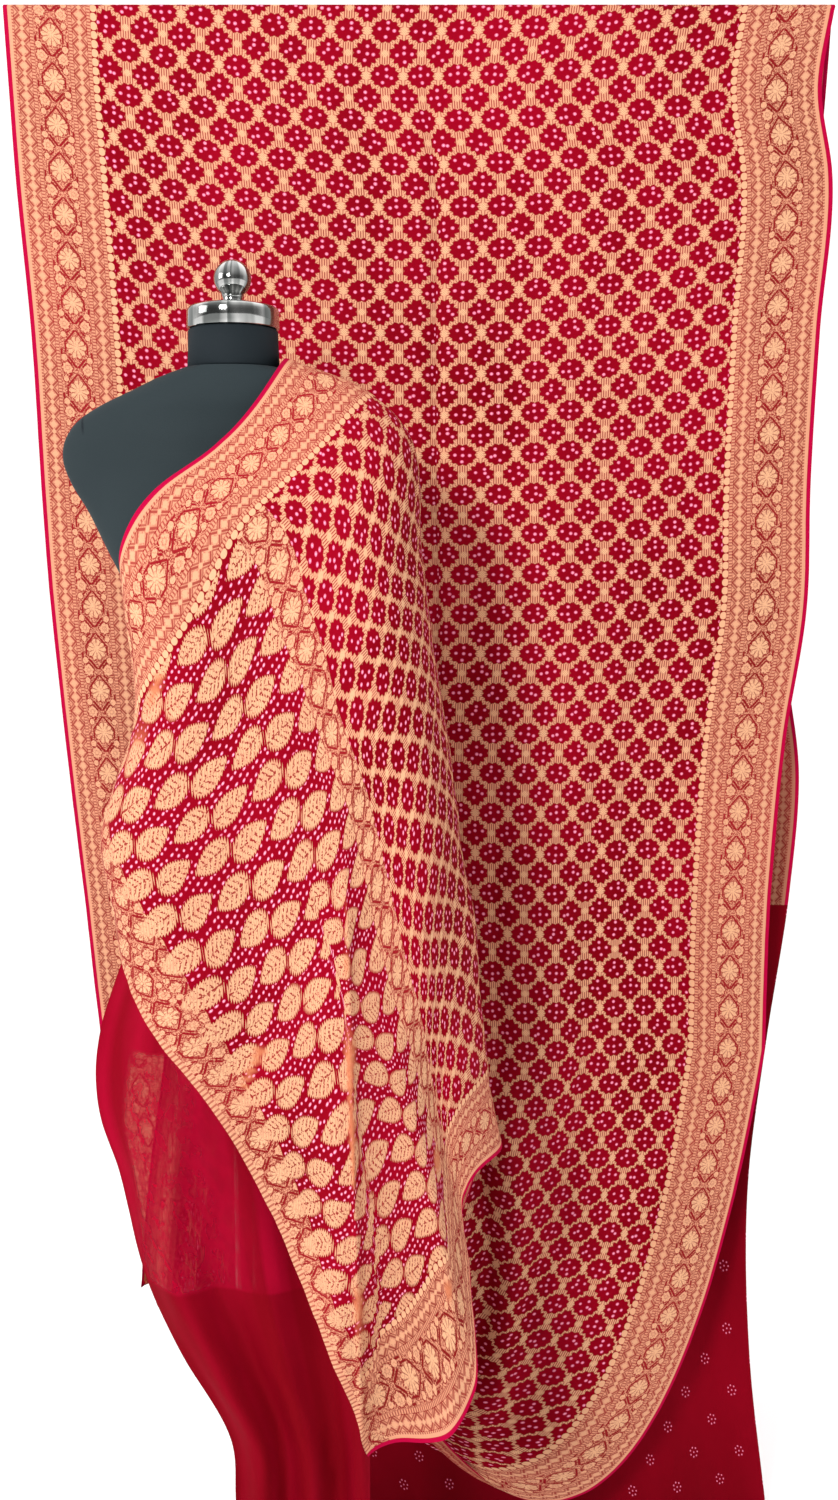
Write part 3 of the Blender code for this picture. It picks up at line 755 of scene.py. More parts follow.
@weave_group("vine_band", "offset repeats", "gold peach")
def vine(offset, repeats):
    """A band of large pointed flowers with stems that cross between them and a flower on each side of the waist.

    offset is in millimetres from the band's middle, repeats counts the flowers.
    """
    x = abs(offset)
    y = repeats.signed()
    waist = 0.5 - abs(y)
    up = y / FLOWER_POINT[1]
    base = length(x / FLOWER_BASE[0], y / FLOWER_BASE[1])
    onion = choose(y.rise(-0.01, 0.01), base, x / FLOWER_POINT[0] + up * up)
    petals = turn(y * REPEAT_ALONG, x, 1.6)
    pointed = onion + petals * 0.24
    flower = pointed.rise(1.12, 1.04)
    bud_x = (x - BUD_SIDE) / BUD_RADIUS
    bud_y = waist * (REPEAT_ALONG / BUD_RADIUS)
    bud = length(bud_x, bud_y) + turn(bud_y, bud_x, 1.28) * 0.22
    small = length(x - SMALL_BUD[0], (y - SMALL_BUD[1]) * REPEAT_ALONG) / SMALL_BUD[2]
    leaf = length(x - VINE_LEAF[0], (y - VINE_LEAF[1]) * 52) / VINE_LEAF[2]
    rings = bud.ring(OUTLINE_AT, 0.17, 0.09).most(
        small.ring(OUTLINE_AT, 0.24, 0.14), leaf.ring(OUTLINE_AT, 0.24, 0.12), pointed.ring(1.22, 0.09, 0.05)
    )
    rings = rings * cloudy(offset * 0.5, repeats * 30, 1.0).rise(0.40, 0.52)
    figure = flower.most(bud.rise(1.10, 1.0), small.rise(1.1, 1.0), leaf.rise(1.1, 1.0))
    scroll = cloudy(offset * 0.26, repeats * 14.6, 1.0, 0.6).ring(0.5, 0.050, 0.026)
    ink = rings.most(scroll)
    for stem in UPRIGHT_STEMS:
        ink = ink.most(x.ring(stem.start, stem.half, stem.core) * y.within(stem.low, stem.high, stem.soft))
    ink = ink * (1.0 - figure)
    for stem in STEMS:
        leaning = (x - y * stem.lean).ring(stem.start, stem.half, stem.core)
        ink = ink.most(leaning * y.within(stem.low, stem.high, stem.soft))
    marks = cloudy(offset * 0.45, repeats * 26, 1.0, 1.0).rise(0.52, 0.60)
    hearts = abs(bud - 0.5).rise(0.06, 0.12)
    seams = petals.rise(0.66, 0.90) * onion.rise(0.22, 0.36) * flower
    gold = choose(figure, 0.82 - 0.52 * marks, (0.96 - 0.24 * marks) * (0.60 + 0.40 * hearts.most(flower)))
    light = flower.most(0.55 * figure) * (0.85 - 0.3 * marks)
    return [gold * (1.0 - 0.70 * seams) * (1.0 - 0.95 * ink), 1.0 - light]


@weave_group("diamond_chain", "offset lengthwise", "gold peach")
def chain(offset, lengthwise):
    """A narrow chain of diamonds, each with a small star, between two rows of comb teeth."""
    x = abs(offset)
    zigzag = (lengthwise * 3).from_whole() * 2
    side = x / CHAIN_HALF
    slope = zigzag - side
    star = (side + (1.0 - zigzag) * 1.1).rise(0.58, 0.48).most(length(side, zigzag).rise(0.36, 0.24))
    marks = cloudy(offset * 0.5, lengthwise * 28, 1.0, 0.5).rise(0.50, 0.60)
    lines = slope.ring(0.0, 0.26, 0.13).most(slope.ring(-0.45, 0.19, 0.09) * 0.85, marks * 0.45)
    teeth = (lengthwise * 14).from_whole().rise(0.14, 0.28)
    comb = x.within(*COMB_SPAN, 0.3)
    rail = x.ring(COMB_RAILS[0], 0.7, 0.3).most(x.ring(COMB_RAILS[1], 0.6, 0.3))
    gold = 0.90 - 0.72 * lines * (1.0 - star) - 0.40 * rail
    return [choose(comb, gold, 0.22 + 0.62 * teeth), 1.0 - 0.5 * star * (1.0 - comb)]


@weave_group("side_border", "from_edge repeats vine_gold vine_peach", "gold peach")
def border(from_edge, repeats, vine_gold, vine_peach):
    """The side border, in from the selvage: plain gold, chain, vine, chain, and scallops against the field."""
    w = from_edge * MM
    inner = w.rise(60.0, 61.0)
    chain_gold, chain_peach = chain(w - CHAIN_MIDDLE - inner * CHAIN_TO_CHAIN, repeats + inner * 0.25)
    scallop = length((w - SCALLOPS_MIDDLE) / SCALLOP_RADIUS, (repeats * 5).from_whole() / 0.44).rise(1.10, 0.95)
    in_vine = w.within(*VINE_SPAN, 0.3)
    past_inner = w.rise(117.0, 117.6)
    plain_line = w.rise(11.2, 10.4)
    gold = choose(past_inner, choose(in_vine, chain_gold, vine_gold), scallop)
    peach = choose(in_vine, chain_peach, vine_peach) * (1.0 - 0.65 * past_inner)
    return [choose(plain_line, gold, 0.95) * w.rise(5.4, 6.2), peach.most(plain_line)]


@weave_group("leaf_panel", "across lengthwise", "gold dots peach")
def leaves(across, lengthwise):
    """The pallu: toothed leaves with dark veins, aslant in staggered rows that point to and from the end.

    Tied dots lie on the crimson net between them.
    """
    strokes = ((across * 0.48 + lengthwise * 0.87) / TOOTH).from_whole() * 2
    leaves_of_rows = []
    for shift, way in ((0.0, -MM), (0.5, MM)):
        x = ((across - LEAF_COLUMN) / LEAF_ACROSS + shift).signed() * (LEAF_ACROSS * way)
        y = ((lengthwise - END_BAND) / (2 * LEAF_ALONG) + shift).signed() * (2 * LEAF_ALONG * way)
        up_leaf = (y * 0.99 + x * 0.15) / LEAF_HALF[0]
        over_leaf = abs((x * 0.99 - y * 0.15) / LEAF_HALF[1] / (1.0 - up_leaf * 0.16))
        edge = length(up_leaf, over_leaf) + up_leaf.most(0.0) * over_leaf * 0.36
        leaves_of_rows.append((edge, up_leaf, over_leaf))
    (edge_a, up_a, over_a), (edge_b, up_b, over_b) = leaves_of_rows
    in_b = edge_a.math("GREATER_THAN", edge_b)
    edge = edge_a.least(edge_b)
    up_leaf = choose(in_b, up_a, up_b)
    over_leaf = choose(in_b, over_a, over_b)
    leaf = (edge + (strokes - 0.5) * 0.24).rise(1.01, 0.98)
    ribs = (up_leaf * 3.4 - over_leaf * 1.5).from_whole().rise(0.26, 0.12)
    vein = ribs * cloudy(across, lengthwise, 400).rise(0.47, 0.53) * edge.rise(0.90, 0.80)
    midrib = over_leaf.rise(0.10, 0.05) * up_leaf.rise(0.55, 0.45) * cloudy(across, lengthwise, 260).rise(0.50, 0.56)
    gold = leaf * (1.0 - 0.92 * vein.most(midrib)) * (0.68 + 0.30 * strokes)
    column = across / NET_ACROSS
    row = lengthwise / NET_ALONG
    jitter, over, up = chance(column.whole(), row.whole())
    dot_x = (column.signed() + (over - 0.5) * 0.40) / 0.22
    dot_y = (row.signed() + (up - 0.5) * 0.40) / (0.22 + 0.14 * jitter)
    dots = length(dot_x, dot_y).rise(1.05, 0.15) * edge.rise(1.10, 1.16)
    return gold, dots, cloudy(across, lengthwise, 90, 1.0).rise(0.40, 0.75) * 0.6


@weave_group("dot_clusters", "across lengthwise", "dots")
def clusters(across, lengthwise):
    """Small rosettes of tied dots, one in the middle and a ring of seven, staggered on plain cloth."""
    a = across / (CLUSTER / MM)
    b = lengthwise / (CLUSTER / MM)
    between = length((a + 0.5).signed(), (b + 0.5).signed())
    pick = length(a.signed(), b.signed()).math("GREATER_THAN", between)
    x = choose(pick, a.signed(), (a + 0.5).signed()) * CLUSTER
    y = choose(pick, b.signed(), (b + 0.5).signed()) * CLUSTER
    radius = length(x, y)
    dot_turn = 2 * math.pi / CLUSTER_DOTS
    round_it = (y.math("ARCTAN2", x) / dot_turn).from_whole() * (dot_turn * CLUSTER_RING)
    ring = length(radius - CLUSTER_RING, round_it).rise(1.8, 0.2)
    return [ring.most(radius.rise(1.8, 0.2)) * 0.7]


@weave_group("crepe_grain", "across lengthwise", "pebble threads shade")
def crepe(across, lengthwise):
    """Grain of the crepe, threads that run across it, and how evenly the dye took."""
    pebble = cloudy(across, lengthwise, 1100, 1.0)
    threads = cloudy(across * 160, lengthwise * 1500, 1.0)
    return pebble, threads, cloudy(across * 5, lengthwise * 2.6, 1.0, 6.0)


# ---------------------------------------------------------------- dyed and woven finishes
# Crimson dye, gold thread of a pale and a peach shade, and dots left nearly white where the cloth was tied.
# The wrong side of the brocade shows less of the gold.
CRIMSON = (0.335, 0.0004, 0.013)
DEEP_CRIMSON = (0.215, 0.0002, 0.005)
SELVAGE_CRIMSON = (0.480, 0.0015, 0.045)
PALE_GOLD = (0.840, 0.480, 0.270)
PEACH_GOLD = (0.780, 0.325, 0.200)
# A painted sheen: the colour the gold weft shows along the drape's sharp creases.
CREASE_SHEEN = (0.620, 0.190, 0.090)
TIED_PINK = (0.800, 0.140, 0.280)
BARE_SILK = (0.940, 0.620, 0.680)
END_CRIMSON = (0.270, 0.0006, 0.010)
END_DEEP_CRIMSON = (0.200, 0.0003, 0.006)
PALLU_DIVIDER = (0.371, 0.423)
PALLU_DIVIDER_SCALE = 860  # millimetres of the vine in a metre of the divider
PALLU_END_BAND = 0.047
END_BAND_MIDDLE = 0.031
END_BAND_REPEAT = 0.050
END_COMB = (0.0085, 0.0080)  # distances from the cut end at which the comb starts and is full
SELVAGE = (0.0062, 0.0056)  # the same for the crimson selvage, from the cloth's side
SOFT_EDGE = 0.0004


def mix_colour(factor, a, b):
    """Colour a where factor is 0, b where it is 1. Its colours are the inputs 6 and 7 and the output 2."""
    return add_node(factor.tree, "Mix", {0: factor, 6: a, 7: b}, data_type="RGBA").outputs[2]


def bumped(height, strength, distance):
    inputs = {"Strength": strength, "Distance": distance, "Height": height}
    return add_node(height.tree, "Bump", inputs).outputs["Normal"]


def new_material(name):
    """A material and its shader."""
    material = bpy.data.materials.new(name)
    material.use_nodes = True
    return material, material.node_tree.nodes["Principled BSDF"]


def axes(tree, place):
    """The three numbers of a place."""
    parts = add_node(tree, "SeparateXYZ", {"Vector": place})
    return [Weave(tree, socket) for socket in parts.outputs]


def cloth_material(name, pattern, gold_strength=1.0, crimson=CRIMSON, deep=DEEP_CRIMSON, relief=0.0004):
    """A cloth finish. pattern takes the places across and along, and gives gold, dots and peach, None for none."""
    material, shader = new_material(name)
    tree = material.node_tree
    cloth_map, sheen_and_cut_map = (add_node(tree, "UVMap", {}, uv_map=label).outputs["UV"] for label in ("cloth", "folds"))
    across, lengthwise, _ = axes(tree, cloth_map)
    # The second map holds the painted crease sheen and the length from the cut end.
    crease_sheen_strip, from_cut, _ = axes(tree, sheen_and_cut_map)
    pebble, threads, shade = crepe(across, lengthwise)
    gold, dots, peach = pattern(across, lengthwise, from_cut)
    colour = mix_colour(shade.rise(0.30, 0.70), crimson, deep)
    height = pebble * 0.35
    if gold is not None:
        gold = gold * gold_strength
        gold_colour = mix_colour(peach * 0.72 + threads * 0.30 - 0.12, PALE_GOLD, PEACH_GOLD)
        colour = mix_colour(gold, colour, gold_colour)
        height = height + gold * threads * 0.6
    if dots is not None:
        colour = mix_colour(dots.rise(0.02, 0.22), colour, TIED_PINK)
        colour = mix_colour(dots.rise(0.35, 1.05), colour, BARE_SILK)
    if gold is not None:
        # Painted sheen: plain copper colour along the drape's sharp creases.
        colour = mix_colour(crease_sheen_strip * (0.80 + 0.2 * threads), colour, CREASE_SHEEN)
        colour = mix_colour(edge_distance(across).rise(*SELVAGE), colour, SELVAGE_CRIMSON)
    normal = bumped(height, 0.5, relief)
    set_inputs(shader, {"Base Color": colour, "Normal": normal, "Roughness": 0.72, "Specular IOR Level": 0.03})
    return material


def edge_distance(across):
    return CLOTH_WIDTH / 2 - abs(across - CLOTH_WIDTH / 2)


def bordered(across, lengthwise, in_band=None, band_offset=None):
    """The side border and, where in_band is 1, the same vine laid across the cloth."""
    from_edge = edge_distance(across)
    repeats = lengthwise / CELL_ALONG
    offset = from_edge * MM - VINE_MIDDLE
    along_band = repeats
    if in_band is not None:
        offset = choose(in_band, offset, band_offset)
        along_band = choose(in_band, repeats, across / CELL_ACROSS + 0.2)
    band = vine(offset, along_band)
    return border(from_edge, repeats, *band), band


def over_divider(lengthwise):
    """Millimetres from the middle of the divider, on the scale of the vine."""
    return (lengthwise - sum(PALLU_DIVIDER) / 2) * PALLU_DIVIDER_SCALE


def inside_borders(across):
    return edge_distance(across).rise(BORDER_WIDTH, BORDER_WIDTH + 0.0006)


def field_pattern(across, lengthwise, from_cut):
    """The field between its two side borders."""
    in_field = inside_borders(across)
    side, _ = bordered(across, lengthwise)
    gold, dots, peach = jaal(across, lengthwise)
    return choose(in_field, side[0], gold), dots * in_field, choose(in_field, side[1], peach)


def field_past_divider(across, lengthwise, from_cut):
    """The flowered divider, then the field."""
    in_field = inside_borders(across)
    in_band = lengthwise.rise(PALLU_DIVIDER[1] + SOFT_EDGE, PALLU_DIVIDER[1] - SOFT_EDGE) * in_field
    side, band = bordered(across, lengthwise, in_band, over_divider(lengthwise))
    gold, dots, peach = jaal(across, lengthwise)
    gold, peach = (
        choose(in_field, at_side, choose(in_band, inside, at_band))
        for at_side, inside, at_band in zip(side, (gold, peach), band)
    )
    return gold, dots * in_field * (1.0 - in_band), peach


def pallu_pattern(across, lengthwise, from_cut):
    """The end of the sari: a flowered end band, the leaf panel and a flowered divider.

    The band is laid out by the distance from the cut end, as it takes up what the drawn folds lack there.
    """
    in_field = inside_borders(across)
    past_leaves = lengthwise.rise(PALLU_DIVIDER[0] - SOFT_EDGE, PALLU_DIVIDER[0] + SOFT_EDGE) * in_field
    reach = PALLU_END_BAND + 0.004 * (across / CELL_ACROSS * 2).from_whole()
    in_end_band = (reach - lengthwise).rise(-SOFT_EDGE, SOFT_EDGE)
    end_offset = ((from_cut - END_BAND_MIDDLE) / END_BAND_REPEAT).signed() * 45.0
    in_band = in_end_band.most(past_leaves)
    side, (band_gold, band_peach) = bordered(
        across, lengthwise, in_band, choose(in_end_band, over_divider(lengthwise), end_offset)
    )
    leaf_gold, leaf_dots, leaf_peach = leaves(across, lengthwise)
    scroll = abs(cloudy(across, lengthwise, 150, 1.0) - 0.5).rise(0.008, 0.030)
    teeth = (across / 0.0066).from_whole().rise(0.14, 0.26)
    end_gold = choose(from_cut.rise(*END_COMB), band_gold * (0.35 + 0.65 * scroll), 0.35 + 0.6 * teeth)
    band_gold = choose(in_end_band, band_gold, end_gold)
    merged = in_band * (1.0 - leaf_gold.rise(0.3, 0.5) * lengthwise.within(0.030, 0.2, 0.002))
    gold = choose(merged, choose(in_field, side[0], leaf_gold), band_gold)
    peach = choose(merged, choose(in_field, side[1], leaf_peach), band_peach)
    return gold, leaf_dots * in_field * (1.0 - in_band), peach


def end_pattern(across, lengthwise, from_cut):
    """The plain running end: crimson, with tied dots alone."""
    return None, clusters(across, lengthwise)[0], None


field_finish = cloth_material("brocade_field", field_pattern)
pallu_finish = cloth_material("brocade_pallu", pallu_pattern)
divider_finish = cloth_material("brocade_past_divider", field_past_divider)
wrong_side_finish = cloth_material("brocade_wrong_side", field_pattern, gold_strength=0.55)
end_finish = cloth_material("dotted_crimson", end_pattern, crimson=END_CRIMSON, deep=END_DEEP_CRIMSON)


# ---------------------------------------------------------------- the cloth, stretch by stretch
# The length is one cloth. It is drawn as stretches that share their edges, so that each keeps a fine finish.
# A stretch is a thin closed sheet: its right side, its wrong side and a rim.
BAKE_FRONT = 0.76  # share of the bake map that the right side fills
BAKE_MARGIN = 0.01


def sheet_mesh(name, places, normals, across, lengthwise, thickness, sheen_strips, from_cut):
    """A thin closed sheet about a grid of points, with the flat cloth's own places as a map."""
    rows, columns = across.shape
    count = rows * columns
    offset = normals * thickness / 2
    points = np.concatenate([(places + offset).reshape(-1, 3), (places - offset).reshape(-1, 3)])
    index = np.arange(count).reshape(rows, columns)
    quads = np.stack([index[:-1, :-1], index[:-1, 1:], index[1:, 1:], index[1:, :-1]], axis=-1).reshape(-1, 4)
    loop = np.concatenate([index[0, :-1], index[:-1, -1], index[-1, :0:-1], index[:0:-1, 0]])
    following = np.roll(loop, -1)
    rim = np.stack([loop, loop + count, following + count, following], axis=-1)
    faces = np.concatenate([quads, quads[:, ::-1] + count, rim])
    mesh = bpy.data.meshes.new(name)
    mesh.from_pydata(points.tolist(), [], faces.tolist())
    side = np.repeat([0, 1, 0], [len(quads), len(quads), len(rim)]).astype(np.int32)
    mesh.polygons.foreach_set("material_index", side)
    corners = faces.reshape(-1)
    place = corners % count

    def add_map(label, horizontal, vertical):
        values = np.stack([horizontal, vertical], axis=-1).reshape(-1)
        mesh.uv_layers.new(name=label).data.foreach_set("uv", values.astype(np.float32))

    add_map("cloth", across.reshape(-1)[place], lengthwise.reshape(-1)[place])
    # The folds map carries the painted crease sheen and the length from the cut end.
    add_map("folds", sheen_strips.reshape(-1)[place], from_cut.reshape(-1)[place])
    behind = np.repeat(side, 4) == 1
    low = np.where(behind, BAKE_FRONT + 0.03, BAKE_MARGIN)
    tall = np.where(behind, 0.96 - BAKE_FRONT, BAKE_FRONT - 2 * BAKE_MARGIN)
    down = low + tall * ((place // columns) / (rows - 1))
    on_rim = np.arange(len(corners)) >= 8 * len(quads)
    down[on_rim] = np.where(corners[on_rim] >= count, 1.0, 0.995)
    add_map("OFBake", BAKE_MARGIN + (1 - 2 * BAKE_MARGIN) * (place % columns) / (columns - 1), down)
    mesh.shade_smooth()
    both = np.concatenate([normals.reshape(-1, 3), -normals.reshape(-1, 3)])
    mesh.normals_split_custom_set_from_vertices(both.tolist())
    return mesh


def add_piece(name, mesh, finishes, node):
    """Adds a piece that takes the place of a node of the solids."""
    for finish in finishes:
        mesh.materials.append(finish)
    obj = put_in_scene(name, mesh)
    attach(obj, "root")
    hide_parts(node)
    return obj


top_first, top_last = stretch_rows["top"]
panel_first, panel_last = stretch_rows["panel"]
back_first, back_last = stretch_rows["back"]
panel_middle = (panel_first + panel_last) // 2
rod_middle = (top_first + top_last) // 2
brocade_last = int(np.argmin(np.abs(drop_of_row[back_first:, COLUMNS // 2] - BROCADE_DROP))) + back_first
brocade = (field_finish, wrong_side_finish)
CLOTH_PIECES = table(
    "name first last finishes held rests_on",
    ("front_drape", 0, ridge_row, (pallu_finish, wrong_side_finish, divider_finish), "draped", ["form_torso"]),
    ("rising_cloth", ridge_row, turn_row, brocade, "draped", ["form_torso"]),
    ("slack_loop", turn_row, panel_first, brocade, "hung", []),
    ("hung_panel_lower", panel_first, panel_middle, brocade, "hung", []),
    ("hung_panel_upper", panel_middle, rod_middle, brocade, "hung", []),
    ("back_layer", rod_middle, brocade_last, brocade, "hung", []),
    ("running_end", brocade_last, back_last, (end_finish, end_finish), "hung", []),
)
for piece in CLOTH_PIECES:
    rows = slice(piece.first, piece.last + 1)
    grids = (cloth_places, cloth_normals, cloth_across, cloth_along)
    mesh = sheet_mesh(piece.name, *(grid[rows] for grid in grids), CLOTH_THICK, crease_sheen[rows], thread[rows])
    if divider_finish in piece.finishes:
        along_here = cloth_along[rows]
        past_middle = (along_here[:-1, :-1] + along_here[1:, 1:]).reshape(-1) > sum(PALLU_DIVIDER)
        finish_of = np.zeros(len(mesh.polygons), dtype=np.int32)
        mesh.polygons.foreach_get("material_index", finish_of)
        finish_of[: len(past_middle)][past_middle] = piece.finishes.index(divider_finish)
        mesh.polygons.foreach_set("material_index", finish_of)
    obj = add_piece(piece.name, mesh, piece.finishes, "sari_cloth")


# ---------------------------------------------------------------- the plain length
# A thin, slightly see-through crimson length hangs under the pallu in front of the form's stand.
PLAIN_Y = -0.3972
PLAIN_BACK = 0.045
PLAIN_ROWS = 200
PLAIN_COLUMNS = 80
PLAIN_THICK = 0.0007
PLAIN_FLAT = (0.29, 1.08)
PLAIN_WEAVE_WIDE = 0.33
SHEER_CRIMSON = (0.400, 0.0015, 0.024)
SHEER_DEEP_CRIMSON = (0.230, 0.0005, 0.008)
# Painted shade of the length's soft upright folds.
SHEER_FOLD_SHADE = (0.210, 0.0005, 0.006)
SHEER_DOUBLED = (0.190, 0.0005, 0.005)
DOUBLED_BELOW = 0.470  # height above its foot to which the length lies double
SEEN_THROUGH = (0.472, 0.770)  # heights between which the cloth behind shows
PLAIN = table(
    "height left right",
    (-1.02, -0.318, -0.085), (-1.10, -0.338, -0.070), (-1.19, -0.345, -0.064), (-1.25, -0.368, -0.062),
    (-1.31, -0.388, -0.062), (-1.43, -0.392, -0.061), (-1.49, -0.372, -0.061), (-1.62, -0.341, -0.061),
    (-1.73, -0.288, -0.061), (-1.84, -0.234, -0.061), (-1.92, -0.230, -0.061), (-2.10, -0.225, -0.061),
)


def plain_length(u, s):
    height = PLAIN[-1].height + (PLAIN[0].height - PLAIN[-1].height) * s
    left = along(PLAIN, "height", "left", height)
    right = along(PLAIN, "height", "right", height)
    x = left + (right - left) * u
    low = ramp(height, -1.25, -1.9)
    pass_back = PLAIN_BACK * ramp(x, -0.290, -0.385)
    wave = (0.004 + 0.008 * low) * np.sin(2 * math.pi * (2.7 * u + 0.4 * s + 0.10))
    wave = wave + 0.0035 * hills(u * 7 + s * 2, s * 6, 5) + 0.0016 * hills(u * 16, s * 26, 6)
    return point(x, PLAIN_Y + pass_back + wave + 0.02 * low, height)


plain_u, plain_s = np.meshgrid(np.linspace(0, 1, PLAIN_COLUMNS + 1), np.linspace(0, 1, PLAIN_ROWS + 1))
plain_places = plain_length(plain_u, plain_s)
plain_up = plain_s * PLAIN_FLAT[1]
plain_mesh = sheet_mesh(
    "plain_length",
    plain_places,
    surface_normals(plain_places),
    plain_u * PLAIN_WEAVE_WIDE,
    plain_up,
    PLAIN_THICK,
    np.zeros_like(plain_u),
    plain_up,
)


def sheer_pattern(across, lengthwise, from_cut):
    """Plain crimson, with no gold and no dots."""
    return None, None, None


sheer = cloth_material(
    "sheer_crimson", sheer_pattern, crimson=SHEER_CRIMSON, deep=SHEER_DEEP_CRIMSON, relief=0.0002
)
sheer_map = add_node(sheer.node_tree, "UVMap", {}, uv_map="cloth")
across, up, _ = axes(sheer.node_tree, sheer_map.outputs["UV"])
inside_edge = (across - up * 0.14).rise(-0.066, -0.056)
wrinkles = cloudy(across * 70, up * 45, 1.0, 2.0).rise(0.36, 0.60)
# Painted shade: darker upright streaks stand in for the shade of the length's soft folds.
fold_shade_streaks = cloudy(across * 30, up * 1.2, 1.0, 1.0).rise(0.36, 0.62)
shows_through = up.within(*SEEN_THROUGH, 0.003) * across.rise(0.190, 0.080) * inside_edge
single = up.rise(DOUBLED_BELOW - 0.002, DOUBLED_BELOW + 0.002)
sheer_shader = sheer.node_tree.nodes["Principled BSDF"]
dyed = sheer_shader.inputs["Base Color"].links[0].from_socket
dyed = mix_colour(0.75 * fold_shade_streaks * (1.0 - shows_through), dyed, SHEER_FOLD_SHADE)
dyed = mix_colour(0.62 * (1.0 - single), dyed, SHEER_DOUBLED)
set_inputs(sheer_shader, {"Base Color": dyed, "Alpha": 0.99 - shows_through * (0.26 + 0.22 * wrinkles)})
plain_piece = add_piece("plain_crimson_length", plain_mesh, (sheer, sheer), "plain_length")


# ---------------------------------------------------------------- the dress form
# A padded torso in black jersey with a neck, on a chromed pole and round foot, under a chromed cap and ball.
TORSO_SIDES = 120
TORSO_ROWS = 120
TORSO_SQUARE = 2.35  # 2 makes an ellipse, more a squarer section
NECK_SEAM = -0.5201
ARMHOLE_SIDE = -0.495
ARMHOLE_LEAN = 0.17
JERSEY_BLACK = (0.021, 0.030, 0.034)
JERSEY_GREY = (0.028, 0.039, 0.043)
SEAM_BLACK = (0.011, 0.015, 0.019)
CHROME_BRIGHT = (0.66, 0.66, 0.64)
CHROME_CLOUDED = (0.50, 0.50, 0.49)
# A painted reflection: the dark parts of a room, laid into the chrome's colour.
PAINTED_REFLECTION_DARK = (0.100, 0.110, 0.105)
NECK_RADIUS = 0.0530
NECK_TOP = -0.4740
NECK_FOOT = -0.5200
CAP_RADIUS = 0.0545
CAP_TOP = -0.4440
BALL_RADIUS = 0.0220
BALL_HEIGHT = -0.4150
POLE_RADIUS = 0.0150
COLLAR_RADIUS = 0.0260
COLLAR_TALL = 0.0400
FOOT_RADIUS = 0.1500
FOOT_TALL = 0.030
GAP = 0.0003
TORSO = table(
    "height half_width half_depth forward",
    (-0.520, 0.058, 0.056, 0.000), (-0.529, 0.085, 0.058, 0.000), (-0.545, 0.120, 0.060, 0.000),
    (-0.562, 0.157, 0.060, 0.000), (-0.578, 0.183, 0.058, 0.000), (-0.600, 0.200, 0.057, 0.002),
    (-0.625, 0.204, 0.058, 0.004), (-0.652, 0.194, 0.064, 0.010), (-0.685, 0.173, 0.078, 0.016),
    (-0.730, 0.150, 0.090, 0.020), (-0.770, 0.130, 0.092, 0.020), (-0.810, 0.112, 0.086, 0.016),
    (-0.870, 0.104, 0.078, 0.006), (-0.940, 0.104, 0.076, 0.002), (-1.010, 0.122, 0.082, 0.000),
    (-1.090, 0.138, 0.092, 0.000), (-1.180, 0.142, 0.096, 0.000), (-1.260, 0.136, 0.090, 0.000),
)


def object_noise(tree, scale, detail):
    """The place on the piece, and noise over it."""
    place = add_node(tree, "TexCoord", {}).outputs["Object"]
    noise = add_node(tree, "TexNoise", {"Vector": place, "Scale": scale, "Detail": detail})
    return axes(tree, place), Weave(tree, noise.outputs["Fac"])


def jersey_material():
    """Matt black stretch cover with a fine knit, a darker neck and an armhole seam."""
    material, shader = new_material("black_jersey")
    (side, _, up), knit = object_noise(material.node_tree, 900.0, 1.0)
    _, cloud = object_noise(material.node_tree, 9.0, 2.0)
    armhole = abs(side + up * ARMHOLE_LEAN - ARMHOLE_SIDE).rise(0.0022, 0.0008) * up.rise(-0.60, -0.59)
    above_seam = up.rise(NECK_SEAM - 0.0005, NECK_SEAM + 0.0005) * 0.75
    colour = mix_colour(above_seam.most(armhole), mix_colour(cloud, JERSEY_BLACK, JERSEY_GREY), SEAM_BLACK)
    normal = bumped(knit, 0.35, 0.0003)
    rough = knit * 0.2 + 0.62
    set_inputs(shader, {"Base Color": colour, "Normal": normal, "Roughness": rough, "Specular IOR Level": 0.10})
    return material


def chrome_material():
    """Bright chrome plate, a little clouded by handling, with the dark bands of a room's reflection painted into its
    colour.
    """
    material, shader = new_material("chrome_plate")
    (side, depth, up), haze = object_noise(material.node_tree, 60.0, 3.0)
    round_it = (side - FORM_X).math("ARCTAN2", depth - FORM_Y)
    # Painted reflection: dark bands of a room, laid into the chrome's colour.
    painted_reflection = cloudy(round_it * 2.6, up * 9, 1.0, 1.0).rise(0.40, 0.58)
    colour = mix_colour(painted_reflection * 0.85, mix_colour(haze, CHROME_BRIGHT, CHROME_CLOUDED), PAINTED_REFLECTION_DARK)
    set_inputs(shader, {"Base Color": colour, "Roughness": haze * 0.16 + 0.02, "Metallic": 1.0})
    return material


def torso_point(angle, height):
    """Place on the torso's surface at an angle round it and a height."""
    half_width, half_depth, forward = (
        along(TORSO, "height", name, height) for name in ("half_width", "half_depth", "forward")
    )
    x, y = (np.sign(part) * np.abs(part) ** (2 / TORSO_SQUARE) for part in (np.cos(angle), np.sin(angle)))
    return point(FORM_X + x * half_width, FORM_Y - forward + y * half_depth, height)


